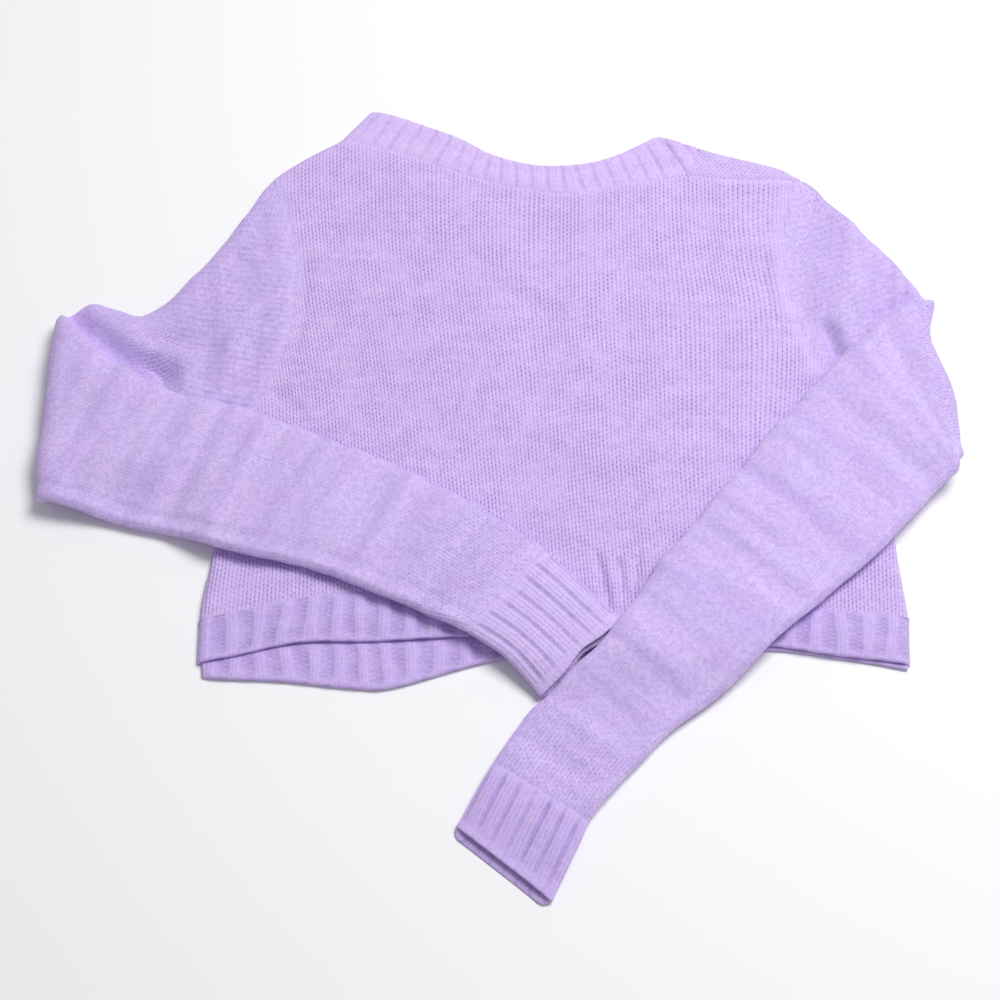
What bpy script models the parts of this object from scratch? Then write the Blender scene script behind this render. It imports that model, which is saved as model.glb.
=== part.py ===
"""A cropped knit sweater laid flat on its front, with both sleeves folded back across it.

Metres, +Z up. The back faces up, the neck points along +Y and the hem along -Y. The origin is
on the surface that the sweater lies on, under the middle of the whole layout. Each knitted
piece is one wall of cloth: front, back, two sleeves, two cuffs, two hem ribs and two neckbands.
Pieces are first made flat, from tables of their edges as seen from above, and then folded.
"""

import math
from typing import NamedTuple

import bmesh
import bpy
from mathutils import Vector

WALL = 0.0035  # thickness of the brushed knit
SEAM_GAP = 0.0003  # between two pieces at a seam, and between two layers
BODY_HEIGHT = 2 * WALL + SEAM_GAP  # front and back lying on each other
SHOULDER_NEUTRAL = (BODY_HEIGHT - WALL) / 2  # radius of the middle of the cloth at that fold
SLEEVE_HEIGHT = 0.0108  # a flattened sleeve: two layers and the air between
FOLD_GAP = 0.001  # between the two halves of a folded sleeve
ELBOW_HEIGHT = SLEEVE_HEIGHT + FOLD_GAP / 2  # the axis that an elbow folds round
ELBOW_NEUTRAL = ELBOW_HEIGHT - SLEEVE_HEIGHT / 2
BODY_LIFT = 0.0092  # underside of a forearm where it crosses the ribbed body

RIB_RELIEF = 0.0012  # how far a knit column of the ribbing stands up
RIB_POINTS = (0, 0, 1, 1)  # relief at the points of one rib, as a share
HEM_RIBS = 28
NECK_RIBS = 21
CUFF_RIBS = 7
RIB_FADE = 0.016  # past the back hem, over which the front hem's ribbing rises

ROLL_STEPS = 2  # columns round a rolled edge
FOLD_STEPS = 4  # facets round a fold
END_STEPS = 3  # facets round a sleeve's edge
ARMHOLE_ROWS = 8
SIDE_ROWS = 6
SHOULDER_COLUMNS = (3, 4)  # left and right
NECK_COLUMNS = 11
BODY_COLUMNS = sum(SHOULDER_COLUMNS) + NECK_COLUMNS
SLEEVE_COLUMNS = 7
SLEEVE_ROWS = 24
CUFF_ROWS = 3
CUFF_PLAIN_COLUMNS = 5
HEM_ROWS = 3
NECKBAND_ROWS = 2

ARMHOLE_EASE = 0.10  # along a sleeve, over which the armhole's curve straightens out
HEIGHT_EASE = 0.05  # along a sleeve, over which it swells from the flat body
FOLD_EASE = 0.07  # past the elbow, over which the forearm settles on what it lies on
LIFT_EASE = 0.045  # sideways, over which a forearm comes down from what it lies on
LIFT_SHARPNESS = 6
ROLL_FADE_ROWS = 2  # over which a side's rolled edge flattens towards the armhole
LEFT_SHOULDER_TURN = 0.93  # share of the left armhole where the shoulder's edge turns in
TIP_INSET = 0.003  # the front's shoulder tip, clear of the sleeve
LAYOUT_CENTRE = Vector((0.0013, -0.0012, 0.0))  # middle of the layout in the tables below
CURVE_STEPS = 80  # straight steps that a curve is measured in
WELD = 1e-6  # points this close are one
SHARP_ANGLE = math.radians(50)  # between two faces that aren't shaded as one

PLAIN_COLOUR = (0.60, 0.49, 0.83)  # lavender, in linear RGB
SLEEVE_COLOUR = (0.63, 0.51, 0.84)
RIB_COLOUR = (0.57, 0.46, 0.81)
SHADE_COLOUR = (0.48, 0.38, 0.72)
PLAIN_ROUGHNESS = 0.95
RIB_ROUGHNESS = 0.90


class Point(NamedTuple):
    """A point on the edge of a piece, as seen from above."""

    x: float
    y: float


class Line(NamedTuple):
    """A straight edge: a point on it and its heading. What it bounds lies on its left."""

    x: float
    y: float
    heading: float


class Section(NamedTuple):
    """A cross section of a sleeve as it lies: its middle, its line's heading, its width."""

    x: float
    y: float
    heading: float
    width: float


class Pad(NamedTuple):
    """Cloth that lifts a forearm: the lines round it and how high it lifts."""

    lines: tuple
    height: float


class Sleeve(NamedTuple):
    """A sleeve with its elbow's fold, its sections on both sides of that and its supports."""

    side: int  # -1 for the sleeve at -X, 1 for the one at +X
    fold_x: float  # the axis that the elbow folds round
    armhole_bow: float  # how far the armhole curves into the body
    upper: tuple
    forearm: tuple
    cuff: tuple
    pads: tuple


LEFT_SIDE = (Point(-0.207, -0.122), Point(-0.204, -0.067), Point(-0.200, -0.020), Point(-0.191, 0.036))
RIGHT_SIDE = (Point(0.284, -0.121), Point(0.281, -0.085), Point(0.277, -0.030), Point(0.268, 0.050))
LEFT_SHOULDER = (Point(-0.173, 0.259), Point(-0.150, 0.280), Point(-0.126, 0.298))
RIGHT_SHOULDER = (Point(0.144, 0.268), Point(0.178, 0.262), Point(0.205, 0.260), Point(0.229, 0.259))
SHOULDER_FOLD = Line(0.126, 0.303, -21.7)
BACK_NECK = (
    Point(-0.126, 0.298),
    Point(-0.082, 0.289),
    Point(-0.046, 0.277),
    Point(-0.010, 0.262),
    Point(0.026, 0.253),
    Point(0.062, 0.251),
    Point(0.098, 0.259),
    Point(0.144, 0.268),
)
BACK_NECK_RIM = (
    Point(-0.105, 0.327),
    Point(-0.073, 0.319),
    Point(-0.037, 0.304),
    Point(-0.006, 0.285),
    Point(0.027, 0.275),
    Point(0.060, 0.276),
    Point(0.092, 0.287),
    Point(0.125, 0.306),
)
FRONT_NECK = (
    Point(-0.126, 0.298),
    Point(-0.112, 0.250),
    Point(-0.065, 0.198),
    Point(0.012, 0.178),
    Point(0.088, 0.190),
    Point(0.130, 0.236),
    Point(0.152, 0.292),
)
FRONT_NECK_RIM = (
    Point(-0.102, 0.324),
    Point(-0.084, 0.265),
    Point(-0.048, 0.222),
    Point(0.012, 0.205),
    Point(0.072, 0.214),
    Point(0.106, 0.250),
    Point(0.126, 0.304),
)
BACK_HEM = (
    Point(-0.207, -0.122),
    Point(-0.150, -0.108),
    Point(-0.111, -0.102),
    Point(0.000, -0.098),
    Point(0.100, -0.100),
    Point(0.190, -0.113),
    Point(0.284, -0.121),
)
BACK_HEM_RIM = (
    Point(-0.209, -0.158),
    Point(-0.181, -0.149),
    Point(-0.138, -0.139),
    Point(-0.083, -0.137),
    Point(0.060, -0.132),
    Point(0.140, -0.136),
    Point(0.190, -0.143),
    Point(0.282, -0.157),
)
FRONT_HEM = (
    Point(-0.207, -0.122),
    Point(-0.170, -0.129),
    Point(-0.104, -0.134),
    Point(-0.072, -0.134),
    Point(-0.004, -0.115),
    Point(0.060, -0.108),
    Point(0.190, -0.106),
    Point(0.284, -0.121),
)
FRONT_HEM_RIM = (
    Point(-0.208, -0.162),
    Point(-0.170, -0.168),
    Point(-0.104, -0.173),
    Point(-0.072, -0.172),
    Point(-0.004, -0.153),
    Point(0.060, -0.146),
    Point(0.190, -0.145),
    Point(0.281, -0.160),
)

LEFT = Sleeve(
    side=-1,
    fold_x=-0.3215,
    armhole_bow=0.024,
    upper=(
        Section(-0.1820, 0.1475, 85.4, 0.2237),
        Section(-0.2166, 0.1048, 93.0, 0.1590),
        Section(-0.2408, 0.0812, 101.0, 0.1300),
        Section(-0.2732, 0.0737, 110.0, 0.1390),
        Section(-0.3027, 0.0592, 117.0, 0.1370),
    ),
    forearm=(
        Section(-0.3150, 0.0300, 66.0, 0.1270),
        Section(-0.2655, 0.0045, 68.6, 0.1225),
        Section(-0.1975, -0.0130, 68.6, 0.1170),
        Section(-0.1180, -0.0385, 63.2, 0.1030),
        Section(-0.0545, -0.0690, 58.1, 0.0960),
        Section(0.0025, -0.1040, 49.2, 0.0870),
    ),
    cuff=(
        Section(0.0025, -0.1040, 49.2, 0.0870),
        Section(0.0300, -0.1290, 48.8, 0.0810),
        Section(0.0550, -0.1530, 48.5, 0.0790),
    ),
    pads=(
        Pad((Line(-0.333, -0.031, 25.3),), SLEEVE_HEIGHT + FOLD_GAP),
        Pad((Line(-0.191, 0.036, -95.8), Line(0.0, -0.152, 0.0)), BODY_LIFT),
    ),
)
RIGHT = Sleeve(
    side=1,
    fold_x=0.3240,
    armhole_bow=0.027,
    upper=(
        Section(0.2485, 0.1545, 100.6, 0.2126),
        Section(0.2700, 0.1350, 96.0, 0.1860),
        Section(0.2955, 0.1090, 92.5, 0.1600),
        Section(0.3200, 0.0820, 90.0, 0.1380),
    ),
    forearm=(
        Section(0.3110, 0.0650, 108.0, 0.1290),
        Section(0.2930, 0.0450, 122.0, 0.1250),
        Section(0.2660, 0.0190, 136.0, 0.1190),
        Section(0.2245, -0.0305, 138.0, 0.1180),
        Section(0.1850, -0.0745, 139.0, 0.1080),
        Section(0.1480, -0.1140, 138.2, 0.1000),
        Section(0.1125, -0.1585, 137.0, 0.0880),
        Section(0.0760, -0.1930, 140.5, 0.0800),
        Section(0.0290, -0.2520, 146.0, 0.0750),
    ),
    cuff=(
        Section(0.0290, -0.2520, 146.0, 0.0750),
        Section(0.0140, -0.2780, 141.5, 0.0780),
        Section(0.0010, -0.3020, 137.0, 0.0820),
    ),
    pads=(
        Pad((Line(0.268, 0.050, -33.7),), SLEEVE_HEIGHT + FOLD_GAP),
        Pad((Line(0.284, -0.121, 95.3), Line(0.0, -0.147, 0.0)), BODY_LIFT),
    ),
)


def blend(a, b, share):
    """What lies this share of the way from a to b."""
    return a + (b - a) * share


def soft_step(value):
    """0 below 0, 1 above 1, and a soft ramp between."""
    value = min(1.0, max(0.0, value))
    return value * value * (3 - 2 * value)


def spline(rows, share):
    """The row this share of the way down a table, on a curve through all its rows."""
    place = min(1.0, max(0.0, share)) * (len(rows) - 1)
    index = min(int(place), len(rows) - 2)
    t = place - index
    before = rows[max(index - 1, 0)]
    after = rows[min(index + 2, len(rows) - 1)]
    values = []
    for p, q, r, s in zip(before, rows[index], rows[index + 1], after):
        cubic = 3 * (q - r) + s - p
        square = 2 * p - 5 * q + 4 * r - s
        values.append(q + 0.5 * t * (r - p + t * (square + t * cubic)))
    return type(rows[0])(*values)


def curve(rows):
    """Closely spaced points along the smooth curve through a table of points."""
    return [Vector(spline(rows, i / CURVE_STEPS)) for i in range(CURVE_STEPS + 1)]


class Path:
    """A line through points, read by the share of its length."""

    def __init__(self, points):
        self.points = points
        self.reach = [0.0]
        for a, b in zip(points, points[1:]):
            self.reach.append(self.reach[-1] + (b - a).length)
        self.length = self.reach[-1]

    def at(self, share):
        """The point this share of the length along."""
        wanted = min(1.0, max(0.0, share)) * self.length
        index = next(i for i, reach in enumerate(self.reach) if i and reach >= wanted - WELD)
        part = (wanted - self.reach[index - 1]) / (self.reach[index] - self.reach[index - 1])
        return self.points[index - 1].lerp(self.points[index], part)

    def spread(self, count, inset=0.0, rolled_start=False, rolled_end=False):
        """Evenly spaced points, with close ones before or after them for a rolled edge."""
        roll = BODY_HEIGHT / self.length
        close = [roll * i / ROLL_STEPS for i in range(ROLL_STEPS)]
        low = (inset + BODY_HEIGHT * rolled_start) / self.length
        high = 1 - (inset + BODY_HEIGHT * rolled_end) / self.length
        shares = close * rolled_start + [blend(low, high, i / count) for i in range(count + 1)]
        shares += [1 - share for share in reversed(close)] * rolled_end
        return [self.at(share) for share in shares]


def moved_left(points, distance):
    """The points of a line, each moved to the left of the way that the line runs."""
    moved = []
    for i, point in enumerate(points):
        way = (points[min(i + 1, len(points) - 1)] - points[max(i - 1, 0)]).normalized()
        moved.append(point + Vector((-way.y, way.x)) * distance)
    return moved


def way_of(heading):
    """The unit vector at a heading in degrees."""
    return Vector((math.cos(math.radians(heading)), math.sin(math.radians(heading))))


def inside(line, point):
    """How far a point lies to the left of a line."""
    way = way_of(line.heading)
    return (point[1] - line.y) * way.x - (point[0] - line.x) * way.y


def unfolded(line, neutral, point):
    """Where a point that lies folded back over a line is before the fold is made."""
    way = way_of(line.heading)
    beyond = math.pi * neutral - 2 * inside(line, point)
    return Vector((point[0] - way.y * beyond, point[1] + way.x * beyond))


class Net:
    """Points spread over a panel between its four edges, as seen from above."""

    def __init__(self, left, right, bottom, top):
        self.left = [bottom[0], *left[1:-1], top[0]]
        self.right = [bottom[-1], *right[1:-1], top[-1]]
        self.bottom, self.top = bottom, top
        self.columns, self.rows = len(bottom) - 1, len(left) - 1
        self.across, self.along = self.shares(bottom), self.shares(self.left)

    @staticmethod
    def shares(points):
        """How far along each point lies, from 0 to 1."""
        path = Path(points)
        return [reach / path.length for reach in path.reach]

    def at(self, column, row):
        """The point in a column and a row."""
        u, v = self.across[column], self.along[row]
        low = self.left[0].lerp(self.right[0], u)
        high = self.left[-1].lerp(self.right[-1], u)
        between_sides = self.left[row].lerp(self.right[row], u)
        return between_sides + self.bottom[column].lerp(self.top[column], v) - low.lerp(high, v)

    def from_side(self, column, row):
        """The way from a point into the net, away from the nearer side edge."""
        step = 1 if column < self.columns / 2 else -1
        return (self.at(column + step, row) - self.at(column, row)).normalized()

    def from_top(self, column, row):
        """The way from a point down into the net, away from the top edge."""
        return (self.at(column, row - 1) - self.at(column, row)).normalized()


def strip(bottom, top, rows):
    """The net of a strip between two lines of points."""
    left = [bottom[0].lerp(top[0], i / rows) for i in range(rows + 1)]
    right = [bottom[-1].lerp(top[-1], i / rows) for i in range(rows + 1)]
    return Net(left, right, bottom, top)


def wall(columns, rows, place, tube=False):
    """A closed wall of cloth: two grids, set by place(column, row, outer) and joined round
    their open edges. A tube's first and last columns are one."""
    mesh = bmesh.new()
    grids = []
    for outer in (True, False):
        grid = bmesh.ops.create_grid(mesh, x_segments=columns, y_segments=rows, size=0.5)["verts"]
        for vert in grid:
            column, row = round((vert.co.x + 0.5) * columns), round((vert.co.y + 0.5) * rows)
            vert.co = place(column, row, outer)
        grids.append(grid)
    partner = dict(zip(*grids))
    ends = set(grids[0][: columns + 1] + grids[0][-columns - 1 :])
    for edge in mesh.edges[:]:
        a, b = edge.verts
        if edge.is_boundary and a in partner and (not tube or (a in ends and b in ends)):
            mesh.faces.new((a, b, partner[b], partner[a]))
    bmesh.ops.remove_doubles(mesh, verts=mesh.verts, dist=WELD)
    bmesh.ops.recalc_face_normals(mesh, faces=mesh.faces)
    return mesh


def fold(mesh, line, axis_height, neutral, drop=None):
    """Folds what lies to the left of a line up and back over the rest, round an axis above
    the line. drop(point, beyond) is how far the folded cloth then sinks."""
    way = way_of(line.heading)
    normal = Vector((-way.y, way.x, 0))
    for step in range(FOLD_STEPS + 1):
        on_plane = Vector((line.x, line.y, 0)) + normal * math.pi * neutral * step / FOLD_STEPS
        geometry = mesh.verts[:] + mesh.edges[:] + mesh.faces[:]
        bmesh.ops.bisect_plane(mesh, geom=geometry, dist=WELD, plane_co=on_plane, plane_no=normal)
    for vert in mesh.verts:
        beyond = inside(line, vert.co)
        if beyond <= 0:
            continue
        radius = axis_height - vert.co.z
        angle = min(beyond / neutral, math.pi)
        flat = max(0.0, beyond - math.pi * neutral)
        vert.co += normal * (radius * math.sin(angle) - flat - beyond)
        vert.co.z = axis_height - radius * math.cos(angle)
        if drop:
            vert.co.z -= drop(vert.co, beyond)


def on_section(sleeve, section, across, bow):
    """A point of a section from above, 1 at the sleeve's top edge and -1 at the underarm's."""
    middle = Vector((section.x, section.y))
    along_section = way_of(section.heading) * section.width / 2 * across
    return middle + along_section - outward(sleeve, section) * bow * (1 - across**2)


def outward(sleeve, section):
    """The way that a sleeve runs at a section, towards its cuff."""
    way = way_of(section.heading)
    return sleeve.side * Vector((way.y, -way.x))


def armhole(sleeve, across):
    """The armhole seam from above, in short straight facets."""
    facet = min(int((across + 1) * ARMHOLE_ROWS / 2), ARMHOLE_ROWS - 1)
    corners = [2 * (facet + i) / ARMHOLE_ROWS - 1 for i in (0, 1)]
    start, end = (on_section(sleeve, sleeve.upper[0], a, sleeve.armhole_bow) for a in corners)
    return start.lerp(end, (across - corners[0]) * ARMHOLE_ROWS / 2)


def side_edge(rows, sleeve, tops):
    """A panel's side from its hem seam up the side seam, round the armhole and to its tops."""
    side = Path(curve(rows))
    below = [side.at(i / SIDE_ROWS) for i in range(SIDE_ROWS)]
    return below + [armhole(sleeve, 2 * i / ARMHOLE_ROWS - 1) for i in range(ARMHOLE_ROWS)] + tops


def roll_weight(row):
    """How fully a body side is rolled in this row: not at all from just below the underarm up."""
    return soft_step((SIDE_ROWS - 1 - row) / ROLL_FADE_ROWS)


def tuck_weight(row):
    """How fully the front's side is tucked in, out of the way of the back's rolled one."""
    return 1.0 if row < SIDE_ROWS else 0.0


def rib_relief(column, first=0):
    """How far the ribbing stands up in this column, as a share."""
    return RIB_POINTS[(column - first) % len(RIB_POINTS)] if column >= first else 0


def upper_wall(net, rolled, relief):
    """A wall of the upper layer. rolled(column, row) says how far the point is round an edge
    that rolls down to the table, how fully that is rolled, and the way in from it."""

    def place(column, row, outer):
        turn, weight, way_in = rolled(column, row)
        radius = BODY_HEIGHT - WALL * (not outer)
        flat = radius + relief(column, row) * RIB_RELIEF * outer
        point = net.at(column, row) + way_in * WALL * turn * weight * (not outer)
        return Vector((*point, blend(flat, radius * math.sqrt(1 - turn**2), weight)))

    return wall(net.columns, net.rows, place)


def lower_wall(net, tucked, relief):
    """A wall of the lower layer, flat on the table. tucked(column, row) is how its edge slants
    in under a rolled one, as a vector with the weight for its length."""

    def place(column, row, outer):
        point = net.at(column, row) + tucked(column, row) * WALL * (not outer)
        return Vector((*point, (WALL + relief(column, row) * RIB_RELIEF) * (not outer)))

    return wall(net.columns, net.rows, place)


def no_relief(_column, _row):
    """Plain knit."""
    return 0


def turn_at(steps_from_edge):
    """How far round a rolled edge a column or row lies: 1 at its end on the table."""
    return max(0.0, 1 - steps_from_edge / ROLL_STEPS)


def back_net():
    """The back panel between its hem, sides, armholes, shoulders and neck."""
    bottom = Path(curve(BACK_HEM)).spread(BODY_COLUMNS, rolled_start=True, rolled_end=True)
    left_shoulder = Path(curve(LEFT_SHOULDER)).spread(SHOULDER_COLUMNS[0], rolled_start=True)
    right_shoulder = Path(curve(RIGHT_SHOULDER)).spread(SHOULDER_COLUMNS[1], rolled_end=True)
    neck = Path(curve(BACK_NECK)).spread(NECK_COLUMNS)
    sides = []
    for rows, sleeve in ((LEFT_SIDE, LEFT), (RIGHT_SIDE, RIGHT)):
        step = BODY_HEIGHT / ROLL_STEPS / (sleeve.upper[0].width / 2)
        tops = [armhole(sleeve, 1 - step * i) for i in reversed(range(ROLL_STEPS + 1))]
        sides.append(side_edge(rows, sleeve, tops))
    return Net(*sides, bottom, left_shoulder + neck[1:] + right_shoulder[1:])


def front_net():
    """The front panel, with the part of its right shoulder that folds over laid out flat."""
    edge = WALL + SEAM_GAP
    bottom = Path(curve(FRONT_HEM)).spread(BODY_COLUMNS, inset=edge)
    left_shoulder = moved_left(Path(curve(LEFT_SHOULDER)).spread(SHOULDER_COLUMNS[0]), -edge)
    seam = Path(curve(RIGHT_SHOULDER)).spread(SHOULDER_COLUMNS[1])
    seam[-1].x -= TIP_INSET
    gap = Vector((SEAM_GAP, SEAM_GAP))
    right_shoulder = [unfolded(SHOULDER_FOLD, SHOULDER_NEUTRAL, point + gap) for point in seam]
    neck_rows = (Point(*left_shoulder[-1]), *FRONT_NECK[1:], Point(*right_shoulder[0]))
    neck = Path(curve(neck_rows)).spread(NECK_COLUMNS)
    sides = []
    for rows, sleeve, turn in ((LEFT_SIDE, LEFT, LEFT_SHOULDER_TURN), (RIGHT_SIDE, RIGHT, 1.0)):
        points = side_edge(rows, sleeve, [armhole(sleeve, turn), armhole(sleeve, 1)])
        for row, point in enumerate(points):
            point.x -= sleeve.side * edge * tuck_weight(row)
        sides.append(points)
    return Net(*sides, bottom, left_shoulder + neck[1:] + right_shoulder[1:])


def make_back(net):
    """The back panel, its side seams and left shoulder rolled down to the table."""
    corner = ROLL_STEPS + SHOULDER_COLUMNS[0]

    def rolled(column, row):
        if row < SIDE_ROWS:
            turn = turn_at(min(column, net.columns - column))
            return turn, roll_weight(row), net.from_side(column, row)
        weight = 1.0 if column < corner else 0.0
        return turn_at(net.rows - row), weight, net.from_top(column, row)

    return upper_wall(net, rolled, no_relief)


def make_front(net):
    """The front panel, flat on the table, its right shoulder folded over onto the back."""

    def tucked(column, row):
        if row == net.rows and column <= SHOULDER_COLUMNS[0]:
            return net.from_top(column, row)
        if column in (0, net.columns):
            return net.from_side(column, row) * tuck_weight(row)
        return Vector((0, 0))

    mesh = lower_wall(net, tucked, no_relief)
    fold(mesh, SHOULDER_FOLD, BODY_HEIGHT / 2, SHOULDER_NEUTRAL)
    return mesh


def make_back_hem(net):
    """The back's hem ribbing, its ends rolled down to the table."""
    columns = HEM_RIBS * len(RIB_POINTS)
    seam = Path(net.bottom).spread(columns, rolled_start=True, rolled_end=True)
    rim = Path(curve(BACK_HEM_RIM)).spread(columns, rolled_start=True, rolled_end=True)
    band = strip(rim, moved_left(seam, -SEAM_GAP), HEM_ROWS)

    def rolled(column, row):
        turn = turn_at(min(column, band.columns - column))
        return turn, 1.0, band.from_side(column, row)

    def relief(column, _row):
        return rib_relief(column, ROLL_STEPS) * (column <= columns + ROLL_STEPS)

    return upper_wall(band, rolled, relief)


def make_front_hem(net):
    """The front's hem ribbing. Its inside is ribbed where it shows past the back's."""
    columns = HEM_RIBS * len(RIB_POINTS)
    seam = Path(net.bottom).spread(columns)
    rim = Path(curve(FRONT_HEM_RIM)).spread(columns, inset=WALL + SEAM_GAP)
    cover = Path(curve(BACK_HEM_RIM)).spread(columns)
    band = strip(rim, moved_left(seam, -SEAM_GAP), HEM_ROWS)

    def tucked(column, row):
        return band.from_side(column, row) if column in (0, columns) else Vector((0, 0))

    def relief(column, row):
        clear = cover[column].y - WALL / 2 - band.at(column, row).y
        return rib_relief(column) * soft_step(clear / RIB_FADE)

    return lower_wall(band, tucked, relief)


def make_back_neckband(net):
    """The back of the neckband, its left end rolled down to the table at the shoulder."""
    start = ROLL_STEPS + SHOULDER_COLUMNS[0]
    columns = NECK_RIBS * len(RIB_POINTS)
    seam = Path(net.top[start : start + NECK_COLUMNS + 1]).spread(columns, rolled_start=True)
    rim = Path(curve(BACK_NECK_RIM)).spread(columns, rolled_start=True)
    band = strip(moved_left(seam, SEAM_GAP), rim, NECKBAND_ROWS)

    def rolled(column, row):
        return turn_at(column), 1.0, band.from_side(min(column, ROLL_STEPS), row)

    return upper_wall(band, rolled, lambda column, _row: rib_relief(column, ROLL_STEPS))


def make_front_neckband(net):
    """The front of the neckband, under the back, its right end folded over at the shoulder."""
    start = SHOULDER_COLUMNS[0]
    seam = Path(net.top[start : start + NECK_COLUMNS + 1]).spread(2 * NECK_COLUMNS)
    rim = Path(curve(FRONT_NECK_RIM)).spread(2 * NECK_COLUMNS)
    band = strip(moved_left(seam, SEAM_GAP), rim, NECKBAND_ROWS)

    def tucked(column, row):
        return band.from_side(column, row) if column == 0 else Vector((0, 0))

    mesh = lower_wall(band, tucked, no_relief)
    fold(mesh, SHOULDER_FOLD, BODY_HEIGHT / 2, SHOULDER_NEUTRAL)
    return mesh


def ring(width, height, inset, low, high):
    """Points round a flattened tube as (across, up), with low columns below and high above."""
    straight = (width - height) / 2
    radius = height / 2 - inset
    points = [(blend(-straight, straight, i / low), inset) for i in range(low)]
    for sign, columns in ((1, high), (-1, 0)):
        for i in range(END_STEPS):
            angle = math.pi * (i / END_STEPS - 0.5)
            across = straight + radius * math.cos(angle)
            points.append((sign * across, height / 2 + sign * radius * math.sin(angle)))
        points += [(blend(straight, -straight, i / high), height - inset) for i in range(columns)]
    return points


def elbow(sleeve):
    """The line that a sleeve is folded back over."""
    return Line(sleeve.fold_x, 0, -90 * sleeve.side)


def before_fold(sleeve, sections):
    """Forearm sections as they are before the elbow is folded."""
    rows = []
    for section in sections:
        place = unfolded(elbow(sleeve), ELBOW_NEUTRAL, section)
        rows.append(Section(*place, 180 - section.heading, section.width))
    return tuple(rows)


def lift(sleeve, point):
    """How high a forearm's underside lies over a point."""
    total = 0.0
    for pad in sleeve.pads:
        depth = min(inside(line, point) for line in pad.lines)
        total += (pad.height * soft_step(1 + depth / LIFT_EASE)) ** LIFT_SHARPNESS
    return total ** (1 / LIFT_SHARPNESS)


def settle(sleeve):
    """How far the folded forearm sinks from the elbow's height onto what it lies on."""

    def drop(point, beyond):
        above = SLEEVE_HEIGHT + FOLD_GAP - lift(sleeve, point)
        return above * soft_step(beyond / FOLD_EASE)

    return drop


def make_tube(sleeve, sections, rows, low, high, relief, at_armhole):
    """A flattened tube through sections, folded at the elbow."""
    first = Vector(sections[0][:2])

    def place(column, row, outer):
        section = spline(sections, row / rows)
        distance = (Vector(section[:2]) - first).length
        swell = soft_step(distance / HEIGHT_EASE) if at_armhole else 1.0
        height = blend(BODY_HEIGHT, SLEEVE_HEIGHT, swell)
        points = ring(section.width, height, WALL * (not outer), low, high)
        index = column % len(points)
        a, up = points[index]
        across = 2 * a / section.width
        if at_armhole and row == 0:
            point = armhole(sleeve, across)
        else:
            ease = max(0.0, 1 - distance / ARMHOLE_EASE) ** 2 * at_armhole
            point = on_section(sleeve, section, across, sleeve.armhole_bow * ease)
        if row == 0:
            point += outward(sleeve, section) * SEAM_GAP
        return Vector((*point, up - relief(index) * RIB_RELIEF * outer))

    mesh = wall(low + high + 2 * END_STEPS, rows, place, tube=True)
    fold(mesh, elbow(sleeve), ELBOW_HEIGHT, ELBOW_NEUTRAL, settle(sleeve))
    return mesh


def make_sleeve(sleeve):
    """A sleeve from its armhole seam to its cuff's seam."""
    sections = sleeve.upper + before_fold(sleeve, sleeve.forearm)
    plain = (SLEEVE_COLUMNS, SLEEVE_COLUMNS, lambda _column: 0)
    return make_tube(sleeve, sections, SLEEVE_ROWS, *plain, at_armhole=True)


def make_cuff(sleeve):
    """A cuff, ribbed on the side that faces up once the sleeve is folded."""
    ribbed = CUFF_RIBS * len(RIB_POINTS)
    sections = before_fold(sleeve, sleeve.cuff)

    def relief(column):
        return rib_relief(column) if column < ribbed else 0

    return make_tube(sleeve, sections, CUFF_ROWS, ribbed, CUFF_PLAIN_COLUMNS, relief, at_armhole=False)


def knit_material(name, colour, roughness):
    """The plain finish of one knitted piece."""
    material = bpy.data.materials.new(name)
    material.use_nodes = True
    shader = material.node_tree.nodes["Principled BSDF"]
    shader.inputs["Base Color"].default_value = (*colour, 1)
    shader.inputs["Roughness"].default_value = roughness
    shader.inputs["Metallic"].default_value = 0
    return material


def add_piece(collection, name, mesh, colour, roughness):
    """Makes the object of a finished piece, about the middle of the layout."""
    bmesh.ops.translate(mesh, verts=mesh.verts, vec=-LAYOUT_CENTRE)
    data = bpy.data.meshes.new(name)
    mesh.to_mesh(data)
    mesh.free()
    data.shade_smooth()
    data.set_sharp_from_angle(angle=SHARP_ANGLE)
    data.materials.append(knit_material(name, colour, roughness))
    collection.objects.link(bpy.data.objects.new(name, data))


def clear_scene():
    """Removes every object of the open scene."""
    for scene_object in list(bpy.data.objects):
        bpy.data.objects.remove(scene_object, do_unlink=True)


def main():
    clear_scene()
    collection = bpy.data.collections.new("cropped_knit_sweater")
    bpy.context.scene.collection.children.link(collection)
    back, front = back_net(), front_net()
    pieces = (
        ("front_panel", make_front(front), PLAIN_COLOUR, PLAIN_ROUGHNESS),
        ("front_hem_rib", make_front_hem(front), SHADE_COLOUR, RIB_ROUGHNESS),
        ("front_neckband", make_front_neckband(front), SHADE_COLOUR, RIB_ROUGHNESS),
        ("back_panel", make_back(back), PLAIN_COLOUR, PLAIN_ROUGHNESS),
        ("back_hem_rib", make_back_hem(back), RIB_COLOUR, RIB_ROUGHNESS),
        ("back_neckband", make_back_neckband(back), RIB_COLOUR, RIB_ROUGHNESS),
        ("left_sleeve", make_sleeve(LEFT), SLEEVE_COLOUR, PLAIN_ROUGHNESS),
        ("left_cuff", make_cuff(LEFT), RIB_COLOUR, RIB_ROUGHNESS),
        ("right_sleeve", make_sleeve(RIGHT), SLEEVE_COLOUR, PLAIN_ROUGHNESS),
        ("right_cuff", make_cuff(RIGHT), RIB_COLOUR, RIB_ROUGHNESS),
    )
    for piece in pieces:
        add_piece(collection, *piece)


if __name__ == "__main__":
    main()
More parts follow.
